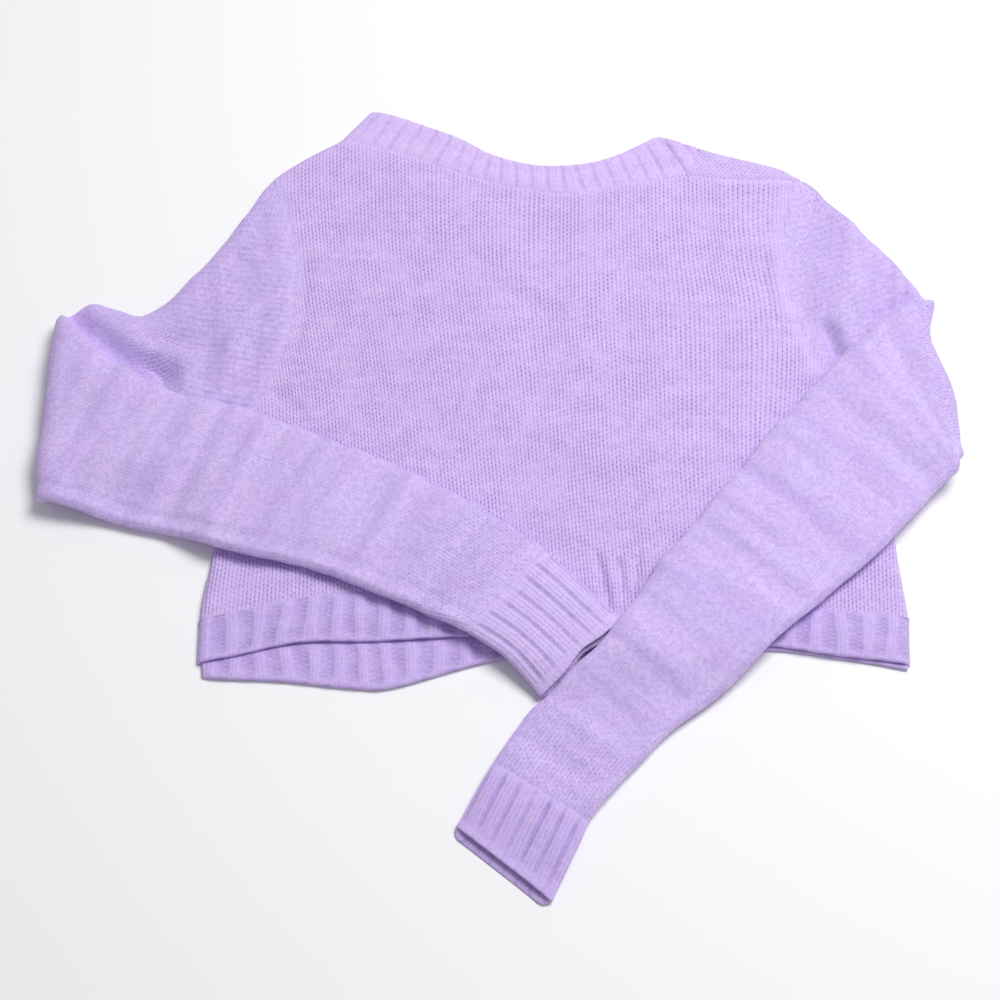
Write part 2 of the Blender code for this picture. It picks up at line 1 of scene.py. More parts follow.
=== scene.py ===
"""Dresses a cropped sweater of brushed lavender stockinette, laid flat on its front.

Each knitted piece is a class that lays its stitches out on a grid, places the grid on the form
in which the piece lies, and dresses it in one knit finish. Sizes are in metres in the row
frame: +Z up, +Y towards the neck and +X towards the wearer's right sleeve as it lies here.
"""

import logging
import math
from dataclasses import dataclass, field, replace
from enum import Enum

import bmesh
import bpy
import numpy as np
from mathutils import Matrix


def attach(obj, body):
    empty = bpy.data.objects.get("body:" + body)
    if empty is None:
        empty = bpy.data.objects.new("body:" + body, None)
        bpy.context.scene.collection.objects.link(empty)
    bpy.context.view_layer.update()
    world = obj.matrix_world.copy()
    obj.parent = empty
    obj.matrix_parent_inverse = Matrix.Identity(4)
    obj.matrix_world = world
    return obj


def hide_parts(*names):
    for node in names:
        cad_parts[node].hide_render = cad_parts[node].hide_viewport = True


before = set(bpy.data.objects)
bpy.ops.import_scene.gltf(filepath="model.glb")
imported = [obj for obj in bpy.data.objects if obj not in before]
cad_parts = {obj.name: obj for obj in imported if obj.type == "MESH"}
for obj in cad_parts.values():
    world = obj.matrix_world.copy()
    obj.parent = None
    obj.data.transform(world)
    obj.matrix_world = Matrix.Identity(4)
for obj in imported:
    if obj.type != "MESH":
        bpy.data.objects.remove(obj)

LOG = logging.getLogger("sweater")

# The cloth's thickness, how high its layers lie, and over what reach they settle.
WALL = 0.0035
SEAM_GAP = 0.0003
BODY_HEIGHT = 2 * WALL + SEAM_GAP
SHOULDER_NEUTRAL = (BODY_HEIGHT - WALL) / 2
SLEEVE_HEIGHT = 0.0108
FOLD_GAP = 0.001
ELBOW_HEIGHT = SLEEVE_HEIGHT + FOLD_GAP / 2
ELBOW_NEUTRAL = ELBOW_HEIGHT - SLEEVE_HEIGHT / 2
BODY_LIFT = 0.0092
ARMHOLE_EASE = 0.10
HEIGHT_EASE = 0.05
FOLD_EASE = 0.07
LIFT_EASE = 0.045
LIFT_SHARPNESS = 6
LAYOUT_CENTRE = np.array((0.0013, -0.0012, 0.0))
WELD = 1e-5

# Seams and edges from above: each is a smooth line through its rows of (x, y).
LEFT_SIDE = np.array(((-0.207, -0.122), (-0.204, -0.067), (-0.200, -0.020), (-0.191, 0.036)))
RIGHT_SIDE = np.array(((0.284, -0.121), (0.281, -0.085), (0.277, -0.030), (0.268, 0.050)))
LEFT_SHOULDER = np.array(((-0.173, 0.259), (-0.150, 0.280), (-0.126, 0.298)))
RIGHT_SHOULDER = np.array(((0.144, 0.268), (0.178, 0.262), (0.205, 0.260), (0.229, 0.259)))
BACK_NECK = np.array(
    (
        (-0.126, 0.298),
        (-0.082, 0.289),
        (-0.046, 0.277),
        (-0.010, 0.262),
        (0.026, 0.253),
        (0.062, 0.251),
        (0.098, 0.259),
        (0.144, 0.268),
    )
)
BACK_NECK_RIM = np.array(
    (
        (-0.105, 0.327),
        (-0.073, 0.319),
        (-0.037, 0.304),
        (-0.006, 0.285),
        (0.027, 0.275),
        (0.060, 0.276),
        (0.092, 0.287),
        (0.125, 0.306),
    )
)
FRONT_NECK = np.array(
    (
        (-0.126, 0.298),
        (-0.112, 0.250),
        (-0.065, 0.198),
        (0.012, 0.178),
        (0.088, 0.190),
        (0.130, 0.236),
        (0.152, 0.292),
    )
)
FRONT_NECK_RIM = np.array(
    (
        (-0.102, 0.324),
        (-0.084, 0.265),
        (-0.048, 0.222),
        (0.012, 0.205),
        (0.072, 0.214),
        (0.106, 0.250),
        (0.126, 0.304),
    )
)
BACK_HEM = np.array(
    (
        (-0.207, -0.122),
        (-0.150, -0.108),
        (-0.111, -0.102),
        (0.000, -0.098),
        (0.048, -0.102),
        (0.088, -0.120),
        (0.125, -0.107),
        (0.190, -0.113),
        (0.284, -0.121),
    )
)
BACK_HEM_RIM = np.array(
    (
        (-0.2078, -0.1540),
        (-0.181, -0.149),
        (-0.138, -0.139),
        (-0.083, -0.137),
        (0.060, -0.132),
        (0.140, -0.136),
        (0.190, -0.143),
        (0.282, -0.157),
    )
)
FRONT_HEM = np.array(
    (
        (-0.207, -0.122),
        (-0.170, -0.129),
        (-0.104, -0.134),
        (-0.072, -0.134),
        (-0.004, -0.115),
        (0.060, -0.108),
        (0.190, -0.106),
        (0.284, -0.121),
    )
)
FRONT_HEM_RIM = np.array(
    (
        (-0.204, -0.1645),
        (-0.170, -0.168),
        (-0.104, -0.173),
        (-0.072, -0.172),
        (-0.004, -0.153),
        (0.060, -0.146),
        (0.190, -0.145),
        (0.281, -0.160),
    )
)

# How far the front's shoulder edges lie from the back's.
FRONT_LEFT_OFFSET = np.array((0.002, -0.003))
FRONT_RIGHT_OFFSET = np.array((0.0, -0.0010))

# Small moves of the cloth's edges: rows of a place (x, y) and its move (x, y).
NUDGES = np.array(
    (
        (-0.006, -0.236, -0.0021, 0.0009),
        (-0.103, 0.326, -0.0007, 0.0041),
        (0.336, 0.112, -0.0150, -0.0028),
        (-0.335, -0.005, -0.0016, -0.0032),
        (0.269, -0.162, -0.0001, 0.0032),
        (0.155, 0.294, -0.0002, 0.0003),
        (-0.202, -0.166, -0.0021, 0.0012),
        (-0.233, 0.169, -0.0015, 0.0025),
        (0.131, -0.201, -0.0021, 0.0025),
        (0.306, -0.027, 0.0022, -0.0009),
        (0.023, 0.278, 0.0004, 0.0017),
        (0.265, 0.223, 0.0016, 0.0029),
        (-0.335, 0.112, -0.0010, 0.0094),
        (-0.242, -0.064, 0.0021, 0.0070),
        (-0.095, -0.178, 0.0001, 0.0012),
        (0.029, -0.332, 0.0020, 0.0055),
        (-0.175, 0.254, -0.0051, 0.0066),
        (0.073, -0.260, -0.0025, 0.0014),
        (0.191, -0.150, 0.0012, 0.0027),
        (0.000, -0.158, 0.0020, 0.0027),
        (0.335, 0.040, -0.0016, -0.0024),
        (0.280, -0.094, 0.0008, -0.0003),
        (0.089, 0.287, 0.0005, 0.0001),
        (0.218, 0.269, 0.0034, 0.0036),
        (-0.039, 0.307, 0.0009, 0.0001),
        (0.303, 0.170, 0.0045, 0.0034),
        (-0.017, -0.295, 0.0010, 0.0017),
        (-0.285, 0.142, -0.0017, -0.0019),
        (-0.334, 0.053, -0.0019, -0.0017),
        (-0.206, -0.109, -0.0038, -0.0010),
        (-0.296, -0.048, 0.0009, 0.0090),
        (-0.150, -0.174, 0.0010, 0.0038),
        (-0.204, 0.212, -0.0003, -0.0005),
        (-0.136, 0.287, -0.0020, 0.0044),
        (-0.047, -0.169, -0.0012, 0.0019),
        (0.020, -0.199, -0.0045, 0.0028),
    )
)
NUDGE_REACH = 0.040
BULGE_REACH = 0.013


# --------------------------------------------------------------------------- small mathematics


def blend(a: np.ndarray, b: np.ndarray, share: np.ndarray) -> np.ndarray:
    """What lies this share of the way from a to b."""
    return a + (b - a) * share


def soft_step(value: np.ndarray) -> np.ndarray:
    """0 below 0, 1 above 1, and a soft ramp between."""
    value = np.clip(value, 0.0, 1.0)
    return value * value * (3 - 2 * value)


def bell(value: np.ndarray) -> np.ndarray:
    """1 at 0, falling softly to nothing on both sides."""
    return np.exp(-np.square(value))


def spline(rows: np.ndarray, share: np.ndarray) -> np.ndarray:
    """The rows this share of the way down a table, on a curve through all its rows.

    Args:
        rows: the table.
        share: shares of the way down it, of any shape.

    Returns:
        The blended rows, one for each share.
    """
    place = np.clip(share, 0.0, 1.0) * (len(rows) - 1)
    index = np.minimum(place.astype(int), len(rows) - 2)
    t = (place - index)[..., None]
    p, q = rows[np.maximum(index - 1, 0)], rows[index]
    r, s = rows[index + 1], rows[np.minimum(index + 2, len(rows) - 1)]
    cubic = 3 * (q - r) + s - p
    square = 2 * p - 5 * q + 4 * r - s
    return q + 0.5 * t * (r - p + t * (square + t * cubic))


def unit(vectors: np.ndarray) -> np.ndarray:
    """The vectors at a length of 1."""
    return vectors / np.maximum(np.linalg.norm(vectors, axis=-1, keepdims=True), 1e-12)


def way_of(heading: np.ndarray) -> np.ndarray:
    """Unit vectors at headings in degrees."""
    return np.stack((np.cos(np.radians(heading)), np.sin(np.radians(heading))), axis=-1)


class Path:
    """A smooth line through a table of points, read by the share of its length."""

    STEPS = 160

    def __init__(self, rows: np.ndarray, smooth: bool = True) -> None:
        """Lays the line out.

        Args:
            rows: the table of points.
            smooth: whether it curves through them, or runs straight from each to the next.
        """
        self.points = spline(rows, np.linspace(0, 1, self.STEPS + 1)) if smooth else rows
        steps = np.linalg.norm(np.diff(self.points, axis=0), axis=1)
        self.reach = np.concatenate(((0.0,), np.cumsum(steps)))
        self.length = float(self.reach[-1])

    def at(self, share: np.ndarray) -> np.ndarray:
        """The points these shares of the length along."""
        wanted = np.clip(share, 0.0, 1.0) * self.length
        return np.stack([np.interp(wanted, self.reach, part) for part in self.points.T], axis=-1)

    def left_of(self, share: np.ndarray) -> np.ndarray:
        """Unit vectors to the left of the way that the line runs."""
        way = unit(self.at(share + 0.004) - self.at(share - 0.004))
        return np.stack((-way[..., 1], way[..., 0]), axis=-1)


def raised(plan: np.ndarray, height: np.ndarray | float) -> np.ndarray:
    """Places from above with their heights."""
    return np.concatenate((plan, np.broadcast_to(height, plan.shape[:-1])[..., None]), axis=-1)


def nudged(points: np.ndarray, table: np.ndarray, reach: float) -> np.ndarray:
    """Moves points softly sideways, by a table of places and moves seen from above.

    Args:
        points: the places to move.
        table: rows of a place (x, y) and its move (x, y).
        reach: how far from its place each move fades.

    Returns:
        The moved points.
    """
    shift = np.zeros((*points.shape[:-1], 2))
    for x, y, *move in table:
        away = np.hypot(points[..., 0] - x, points[..., 1] - y)
        shift += bell(away / reach)[..., None] * np.array(move)
    return np.concatenate((points[..., :2] + shift, points[..., 2:]), axis=-1)


@dataclass(frozen=True)
class Fold:
    """A straight fold seen from above. What lies on its left folds up and back over the rest."""

    x: float
    y: float
    heading: float
    axis_height: float
    neutral: float

    def inside(self, points: np.ndarray) -> np.ndarray:
        """How far points lie to the left of the line."""
        way = way_of(self.heading)
        return (points[..., 1] - self.y) * way[0] - (points[..., 0] - self.x) * way[1]

    def unfolded(self, points: np.ndarray) -> np.ndarray:
        """Where points that lie folded back are before the fold is made.

        Args:
            points: places that lie folded back.

        Returns:
            Their places before the fold, from above.
        """
        way = way_of(self.heading)
        beyond = math.pi * self.neutral - 2 * self.inside(points)
        return points[..., :2] + beyond[..., None] * np.array((-way[1], way[0]))

    def folded(self, points: np.ndarray) -> tuple[np.ndarray, np.ndarray]:
        """Folds points.

        Args:
            points: places before the fold, with their heights.

        Returns:
            The folded places and how far each lay beyond the line, 0 for what stays.
        """
        way = way_of(self.heading)
        normal = np.array((-way[1], way[0], 0.0))
        beyond = np.maximum(self.inside(points), 0.0)
        angle = np.minimum(beyond / self.neutral, math.pi)
        flat = np.maximum(0.0, beyond - math.pi * self.neutral)
        radius = self.axis_height - points[..., 2]
        moved = points + normal * (radius * np.sin(angle) - flat - beyond)[..., None]
        moved[..., 2] = self.axis_height - radius * np.cos(angle)
        return np.where((beyond > 0)[..., None], moved, points), beyond


SHOULDER_FOLD = Fold(0.126, 0.303, -21.7, BODY_HEIGHT / 2, SHOULDER_NEUTRAL)


class Unevenness:
    """Soft, seeded unevenness over a plane, from -1 to 1."""

    WAVES = 14

    def __init__(self, seed: int, size: float, stretch: float = 1.0) -> None:
        """Draws the waves that make it up.

        Args:
            seed: gives the same unevenness each time.
            size: about how far apart its hills lie, in metres.
            stretch: how much longer they are along the first axis.
        """
        chance = np.random.default_rng(seed)
        heading = chance.uniform(0, 2 * math.pi, self.WAVES)
        pace = 2 * math.pi / size * chance.uniform(0.45, 1.35, self.WAVES)
        self.pace = np.stack((np.cos(heading) * pace / stretch, np.sin(heading) * pace))
        self.start = chance.uniform(0, 2 * math.pi, self.WAVES)
        self.strength = chance.uniform(0.5, 1.0, self.WAVES)
        self.strength *= 1.6 / math.sqrt(float(np.square(self.strength).sum()) * 2)

    def at(self, points: np.ndarray) -> np.ndarray:
        """The unevenness at points."""
        angles = points[..., :2] @ self.pace + self.start
        return np.tanh(np.sin(angles) @ self.strength)


@dataclass(frozen=True)
class Crease:
    """A soft trough or ridge in the cloth, along a line of points seen from above."""

    points: tuple[tuple[float, float], ...]
    height: float
    width: float
    taper: float = 0.35

    def at(self, places: np.ndarray) -> np.ndarray:
        """How much it raises the cloth at these places.

        Args:
            places: a grid of places, of which x and y are read.

        Returns:
            The height at each place.
        """
        line = Path(np.array(self.points), smooth=len(self.points) > 2)
        distance, _nearest, share = nearest_on(line.points, places[..., :2].reshape(-1, 2))
        fade = soft_step(share / self.taper) * soft_step((1 - share) / self.taper)
        return (self.height * bell(distance / self.width) * fade).reshape(places.shape[:-1])


def nearest_on(line: np.ndarray, places: np.ndarray) -> tuple[np.ndarray, np.ndarray, np.ndarray]:
    """The nearest point of a line of straight steps to each place.

    Args:
        line: the line's points.
        places: flat list of places.

    Returns:
        The distances, the nearest points and the share of the line's length at each.
    """
    steps = np.diff(line, axis=0)
    sizes = np.maximum(np.square(steps).sum(axis=1), 1e-18)
    reach = np.concatenate(((0.0,), np.cumsum(np.sqrt(sizes))))
    distances, nearest, shares = [], [], []
    for part in np.array_split(places, max(1, len(places) * len(steps) // 2_000_000)):
        away = part[:, None, :] - line[None, :-1, :]
        along = np.clip((away * steps).sum(axis=2) / sizes, 0.0, 1.0)
        gaps = np.square(away - along[..., None] * steps).sum(axis=2)
        best = gaps.argmin(axis=1)
        each = np.arange(len(part))
        distances.append(np.sqrt(gaps[each, best]))
        nearest.append(line[best] + steps[best] * along[each, best][:, None])
        shares.append((reach[best] + along[each, best] * np.sqrt(sizes[best])) / reach[-1])
    return np.concatenate(distances), np.concatenate(nearest), np.concatenate(shares)


def is_within(outline: np.ndarray, places: np.ndarray) -> np.ndarray:
    """Whether each place lies within a closed outline.

    Args:
        outline: its corners in order.
        places: flat list of places.

    Returns:
        True for each place within.
    """
    a, b = outline, np.roll(outline, -1, axis=0)
    slope = (b[:, 0] - a[:, 0]) / np.where(b[:, 1] == a[:, 1], 1e-12, b[:, 1] - a[:, 1])
    parts = []
    for part in np.array_split(places, max(1, len(places) * len(a) // 2_000_000)):
        y = part[:, 1:2]
        spans = (a[:, 1] > y) != (b[:, 1] > y)
        crossed = spans & (part[:, 0:1] < a[:, 0] + (y - a[:, 1]) * slope)
        parts.append(crossed.sum(axis=1) % 2 == 1)
    return np.concatenate(parts)


def normals_of(points: np.ndarray, around: bool = False) -> np.ndarray:
    """Unit normals of a grid of points, to the left of its rows' way.

    Args:
        points: the grid, rows first.
        around: whether its first and last columns are one.

    Returns:
        The normal at each point.
    """
    if around:
        points = np.concatenate((points[:, -2:-1], points, points[:, 1:2]), axis=1)
    normals = unit(np.cross(np.gradient(points, axis=1), np.gradient(points, axis=0)))
    return normals[:, 1:-1] if around else normals


# --------------------------------------------------------------------------------- the stitches


@dataclass(frozen=True)
class Gauge:
    """The size of a stitch."""

    wale: float = 0.00535
    course: float = 0.0038


GAUGE = Gauge()


class Stitches:
    """How far knitting stands up, as a share, at places counted in stitches."""

    @staticmethod
    def plain(wales: np.ndarray, courses: np.ndarray) -> np.ndarray:
        """Stockinette: two slanting legs in each wale, with dimples between them.

        Args:
            wales: places counted in wales.
            courses: places counted in courses.

        Returns:
            The height at each place.
        """
        across = np.abs(wales - np.floor(wales) - 0.5)
        leg = 1 - np.square((across - 0.25) / 0.25)
        phase = courses - across
        along = np.abs(2 * (phase - np.floor(phase)) - 1)
        return 0.70 * leg + 0.30 * (1 - along) * (0.4 + 0.6 * leg)

    @staticmethod
    def rib(ribs: np.ndarray, courses: np.ndarray, knit: float) -> np.ndarray:
        """Ribbing: raised knit columns, and sunken ones with purl bumps.

        Args:
            ribs: places counted in ribs; a knit column's middle is at each half.
            courses: places counted in courses.
            knit: the share of a rib that its knit column takes.

        Returns:
            The height at each place.
        """
        off = np.abs(ribs - np.floor(ribs) - 0.5)
        raised = soft_step((knit / 2 + 0.12 - off) / 0.24)
        groove = 0.20 * bell((off / knit - 0.18) / 0.07)
        side = (0.5 - off) / (1 - knit)
        slant = courses + 0.5 * (ribs - np.floor(ribs) < 0.5) + 1.1 * side
        purl = (0.5 + 0.5 * np.cos(2 * math.pi * slant)) * soft_step(side / 0.3) * (1 - raised)
        return raised * (1 - groove) + 0.34 * purl


# ------------------------------------------------------------------------------------ materials


class Nodes:
    """Adds nodes to a tree in few words. An input is a number, a colour or a socket."""

    def __init__(self, tree: bpy.types.NodeTree) -> None:
        """Keeps the tree that the nodes go to."""
        self.tree = tree

    def add(self, kind: str, **inputs: object) -> bpy.types.Node:
        """A node of that kind with these inputs set or linked, by their names.

        Args:
            kind: the node's type.
            inputs: what its inputs get, by name, with _ for each space.

        Returns:
            The new node.
        """
        node = self.tree.nodes.new(kind)
        for name, value in inputs.items():
            self.feed(node.inputs[name.replace("_", " ")], value)
        return node

    def feed(self, socket: bpy.types.NodeSocket, value: object) -> None:
        """Sets a socket, or links it to another.

        Args:
            socket: the input to feed.
            value: a plain value, or the output socket to link.
        """
        if isinstance(value, bpy.types.NodeSocket):
            self.tree.links.new(value, socket)
        else:
            socket.default_value = value

    def math(self, operation: str, *values: object) -> bpy.types.NodeSocket:
        """The result of a math node.

        Args:
            operation: what it works out.
            values: its inputs in order.

        Returns:
            Its output socket.
        """
        node = self.tree.nodes.new("ShaderNodeMath")
        node.operation = operation
        for socket, value in zip(node.inputs, values):
            self.feed(socket, value)
        return node.outputs[0]

    def ramp(
        self, value: object, low: float, high: float, start: float = 0.0, end: float = 1.0
    ) -> bpy.types.NodeSocket:
        """Softly runs from start to end while value goes from low to high.

        Args:
            value: what it follows.
            low: the value at which it starts.
            high: the value at which it ends.
            start: the result up to low.
            end: the result from high on.

        Returns:
            Its output socket.
        """
        node = self.tree.nodes.new("ShaderNodeMapRange")
        node.interpolation_type = "SMOOTHSTEP"
        for socket, fed in zip(node.inputs, (value, low, high, start, end)):
            self.feed(socket, fed)
        return node.outputs[0]

    def mix(self, share: object, a: object, b: object) -> bpy.types.NodeSocket:
        """A colour this share of the way from a to b.

        Args:
            share: of the way, 0 for a and 1 for b.
            a: the first colour.
            b: the second colour.

        Returns:
            Its output socket.
        """
        node = self.tree.nodes.new("ShaderNodeMix")
        node.data_type = "RGBA"
        for socket, value in zip((node.inputs[0], node.inputs[6], node.inputs[7]), (share, a, b)):
            self.feed(socket, value)
        return node.outputs[2]

    def noise(
        self, place: object, scale: float, detail: float = 2.0, roughness: float = 0.5
    ) -> bpy.types.NodeSocket:
        """Soft noise from 0 to 1 at a place, with finer layers of that roughness."""
        inputs = {"Vector": place, "Scale": scale, "Detail": detail, "Roughness": roughness}
        return self.add("ShaderNodeTexNoise", **inputs).outputs["Fac"]

    def moved(self, place: object, scale: tuple[float, float, float]) -> bpy.types.NodeSocket:
        """A place multiplied part by part.

        Args:
            place: the place.
            scale: what each of its parts is multiplied by.

        Returns:
            Its output socket.
        """
        node = self.tree.nodes.new("ShaderNodeVectorMath")
        node.operation = "MULTIPLY"
        self.feed(node.inputs[0], place)
        self.feed(node.inputs[1], scale)
        return node.outputs[0]


def new_group(
    name: str, inputs: dict[str, str], outputs: dict[str, str]
) -> tuple[bpy.types.NodeTree, Nodes, dict, dict]:
    """Starts a node group.

    Args:
        name: the group's name.
        inputs: the kinds of its input sockets by name.
        outputs: the kinds of its output sockets by name.

    Returns:
        The group, its nodes' helper, and the sockets to read from and to feed, by name.
    """
    tree = bpy.data.node_groups.new(name, "ShaderNodeTree")
    for label, kind in inputs.items():
        tree.interface.new_socket(name=label, in_out="INPUT", socket_type=f"NodeSocket{kind}")
    for label, kind in outputs.items():
        tree.interface.new_socket(name=label, in_out="OUTPUT", socket_type=f"NodeSocket{kind}")
    nodes = Nodes(tree)
    entry = tree.nodes.new("NodeGroupInput")
    leave = tree.nodes.new("NodeGroupOutput")
    given = {socket.name: socket for socket in entry.outputs if socket.name}
    wanted = {socket.name: socket for socket in leave.inputs if socket.name}
    return tree, nodes, given, wanted


class Pattern(Enum):
    """How a piece is knitted."""

    PLAIN = "plain"
    RIB = "rib"


class KnitGroups:
    """The node groups that all knit finishes share."""

    def __init__(self) -> None:
        """Builds both kinds of knitting and the brushed nap."""
        self.plain = self.make_plain()
        self.rib = self.make_rib()
        self.brushed = self.make_brushed()

    @staticmethod
    def make_plain() -> bpy.types.NodeTree:
        """Stockinette on a map counted in stitches: its height, and the shade painted into its
        dimples.

        Returns:
            The group.
        """
        outputs = {"Height": "Float", "Dimple shade": "Float"}
        tree, n, given, wanted = new_group("stockinette", {"Stitch": "Vector"}, outputs)
        parts = n.add("ShaderNodeSeparateXYZ", Vector=given["Stitch"])
        across = n.math("ABSOLUTE", n.math("SUBTRACT", n.math("FRACT", parts.outputs[0]), 0.5))
        off = n.math("DIVIDE", n.math("SUBTRACT", across, 0.25), 0.25)
        leg = n.math("SUBTRACT", 1.0, n.math("POWER", n.math("ABSOLUTE", off), 2.0))
        phase = n.math("FRACT", n.math("SUBTRACT", parts.outputs[1], across))
        along = n.math("ABSOLUTE", n.math("SUBTRACT", n.math("MULTIPLY", phase, 2.0), 1.0))
        rise = n.math("MULTIPLY", n.math("SUBTRACT", 1.0, n.math("POWER", along, 3.0)), 0.4)
        n.feed(wanted["Height"], n.math("MULTIPLY", leg, n.math("ADD", rise, 0.6)))
        gap = n.math("SUBTRACT", 1.0, leg)
        # painted shade: dark dots in the gaps between the legs, and thin dark lines along the gaps
        pit = n.math("MULTIPLY", n.ramp(gap, 0.28, 0.85), n.ramp(along, 0.45, 0.90))
        line = n.math("MULTIPLY", n.ramp(gap, 0.50, 1.0), n.ramp(across, 0.1, 0.4, 0.08, 0.24))
        n.feed(wanted["Dimple shade"], n.math("MAXIMUM", pit, line))
        return tree

    @staticmethod
    def make_rib() -> bpy.types.NodeTree:
        """Ribbing on a map counted in ribs and courses: its height, and the shade painted in its
        furrows.

        Returns:
            The group.
        """
        inputs = {"Stitch": "Vector", "Knit share": "Float"}
        outputs = {"Height": "Float", "Dimple shade": "Float"}
        tree, n, given, wanted = new_group("ribbing", inputs, outputs)
        knit = given["Knit share"]
        parts = n.add("ShaderNodeSeparateXYZ", Vector=given["Stitch"])
        phase = n.math("FRACT", parts.outputs[0])
        off = n.math("ABSOLUTE", n.math("SUBTRACT", phase, 0.5))
        over = n.math("SUBTRACT", n.math("MULTIPLY", knit, 0.5), off)
        raised = n.ramp(over, -0.09, 0.08)
        lines = n.math("ABSOLUTE", n.math("SUBTRACT", n.math("DIVIDE", off, knit), 0.18))
        groove = n.ramp(lines, 0.11, 0.02)
        beat = n.math("COSINE", n.math("MULTIPLY", parts.outputs[1], 2 * math.pi))
        groove = n.math("MULTIPLY", groove, n.ramp(beat, -1.0, 0.6, 0.45, 1.0))
        side = n.math("DIVIDE", n.math("SUBTRACT", 0.5, off), n.math("SUBTRACT", 1.0, knit))
        half = n.math("MULTIPLY", n.math("LESS_THAN", phase, 0.5), 0.5)
        slant = n.math("ADD", n.math("ADD", parts.outputs[1], half), n.math("MULTIPLY", side, 1.1))
        tick = n.ramp(n.math("COSINE", n.math("MULTIPLY", slant, 2 * math.pi)), 0.15, 0.85)
        middle = n.ramp(side, 0.0, 0.22)
        purl = n.math("SUBTRACT", 1.0, n.math("MULTIPLY", n.math("MULTIPLY", tick, middle), 0.75))
        # painted shade, as a share: edge on the knit columns' edges, dark on the sunken purl
        # columns, light in the fine grooves of the raised knit columns
        edge = n.math("MULTIPLY", n.ramp(n.math("ABSOLUTE", over), 0.07, 0.0), 0.30)
        dark = n.math("MULTIPLY", n.math("SUBTRACT", 1.0, raised), n.math("MULTIPLY", purl, 0.72))
        light = n.math("MULTIPLY", raised, n.math("MULTIPLY", groove, 0.42))
        dimple_shade = n.math("MAXIMUM", n.math("ADD", dark, light), edge)
        n.feed(wanted["Dimple shade"], dimple_shade)
        # the height is the painted shade turned over
        n.feed(wanted["Height"], n.math("SUBTRACT", 1.0, dimple_shade))
        return tree

    @staticmethod
    def make_brushed() -> bpy.types.NodeTree:
        """The brushed nap: fine fibres, and soft patches where it covers the stitches.

        Returns:
            The group.
        """
        inputs = {"Place": "Vector", "Stitch": "Vector"}
        outputs = {"Fibres": "Float", "Cover": "Float", "Streaks": "Float", "Hue": "Float"}
        tree, n, given, wanted = new_group("brushed nap", inputs, outputs)
        place = given["Place"]
        fine = n.math("MULTIPLY", n.noise(place, 1300.0, 3.0, 0.7), 0.6)
        tufts = n.math("MULTIPLY", n.noise(place, 300.0, 2.0, 0.6), 0.4)
        n.feed(wanted["Fibres"], n.math("ADD", fine, tufts))
        n.feed(wanted["Cover"], n.ramp(n.noise(place, 75.0, 3.0, 0.65), 0.34, 0.66))
        streaks = n.noise(given["Stitch"], 1.0, 2.0, 0.55)
        n.feed(wanted["Streaks"], n.ramp(streaks, 0.30, 0.70))
        hue = n.noise(n.moved(place, (0.6, 1.0, 1.0)), 42.0, 1.0, 0.5)
        n.feed(wanted["Hue"], n.ramp(hue, 0.35, 0.65))
        return tree


Colour = tuple[float, float, float, float]


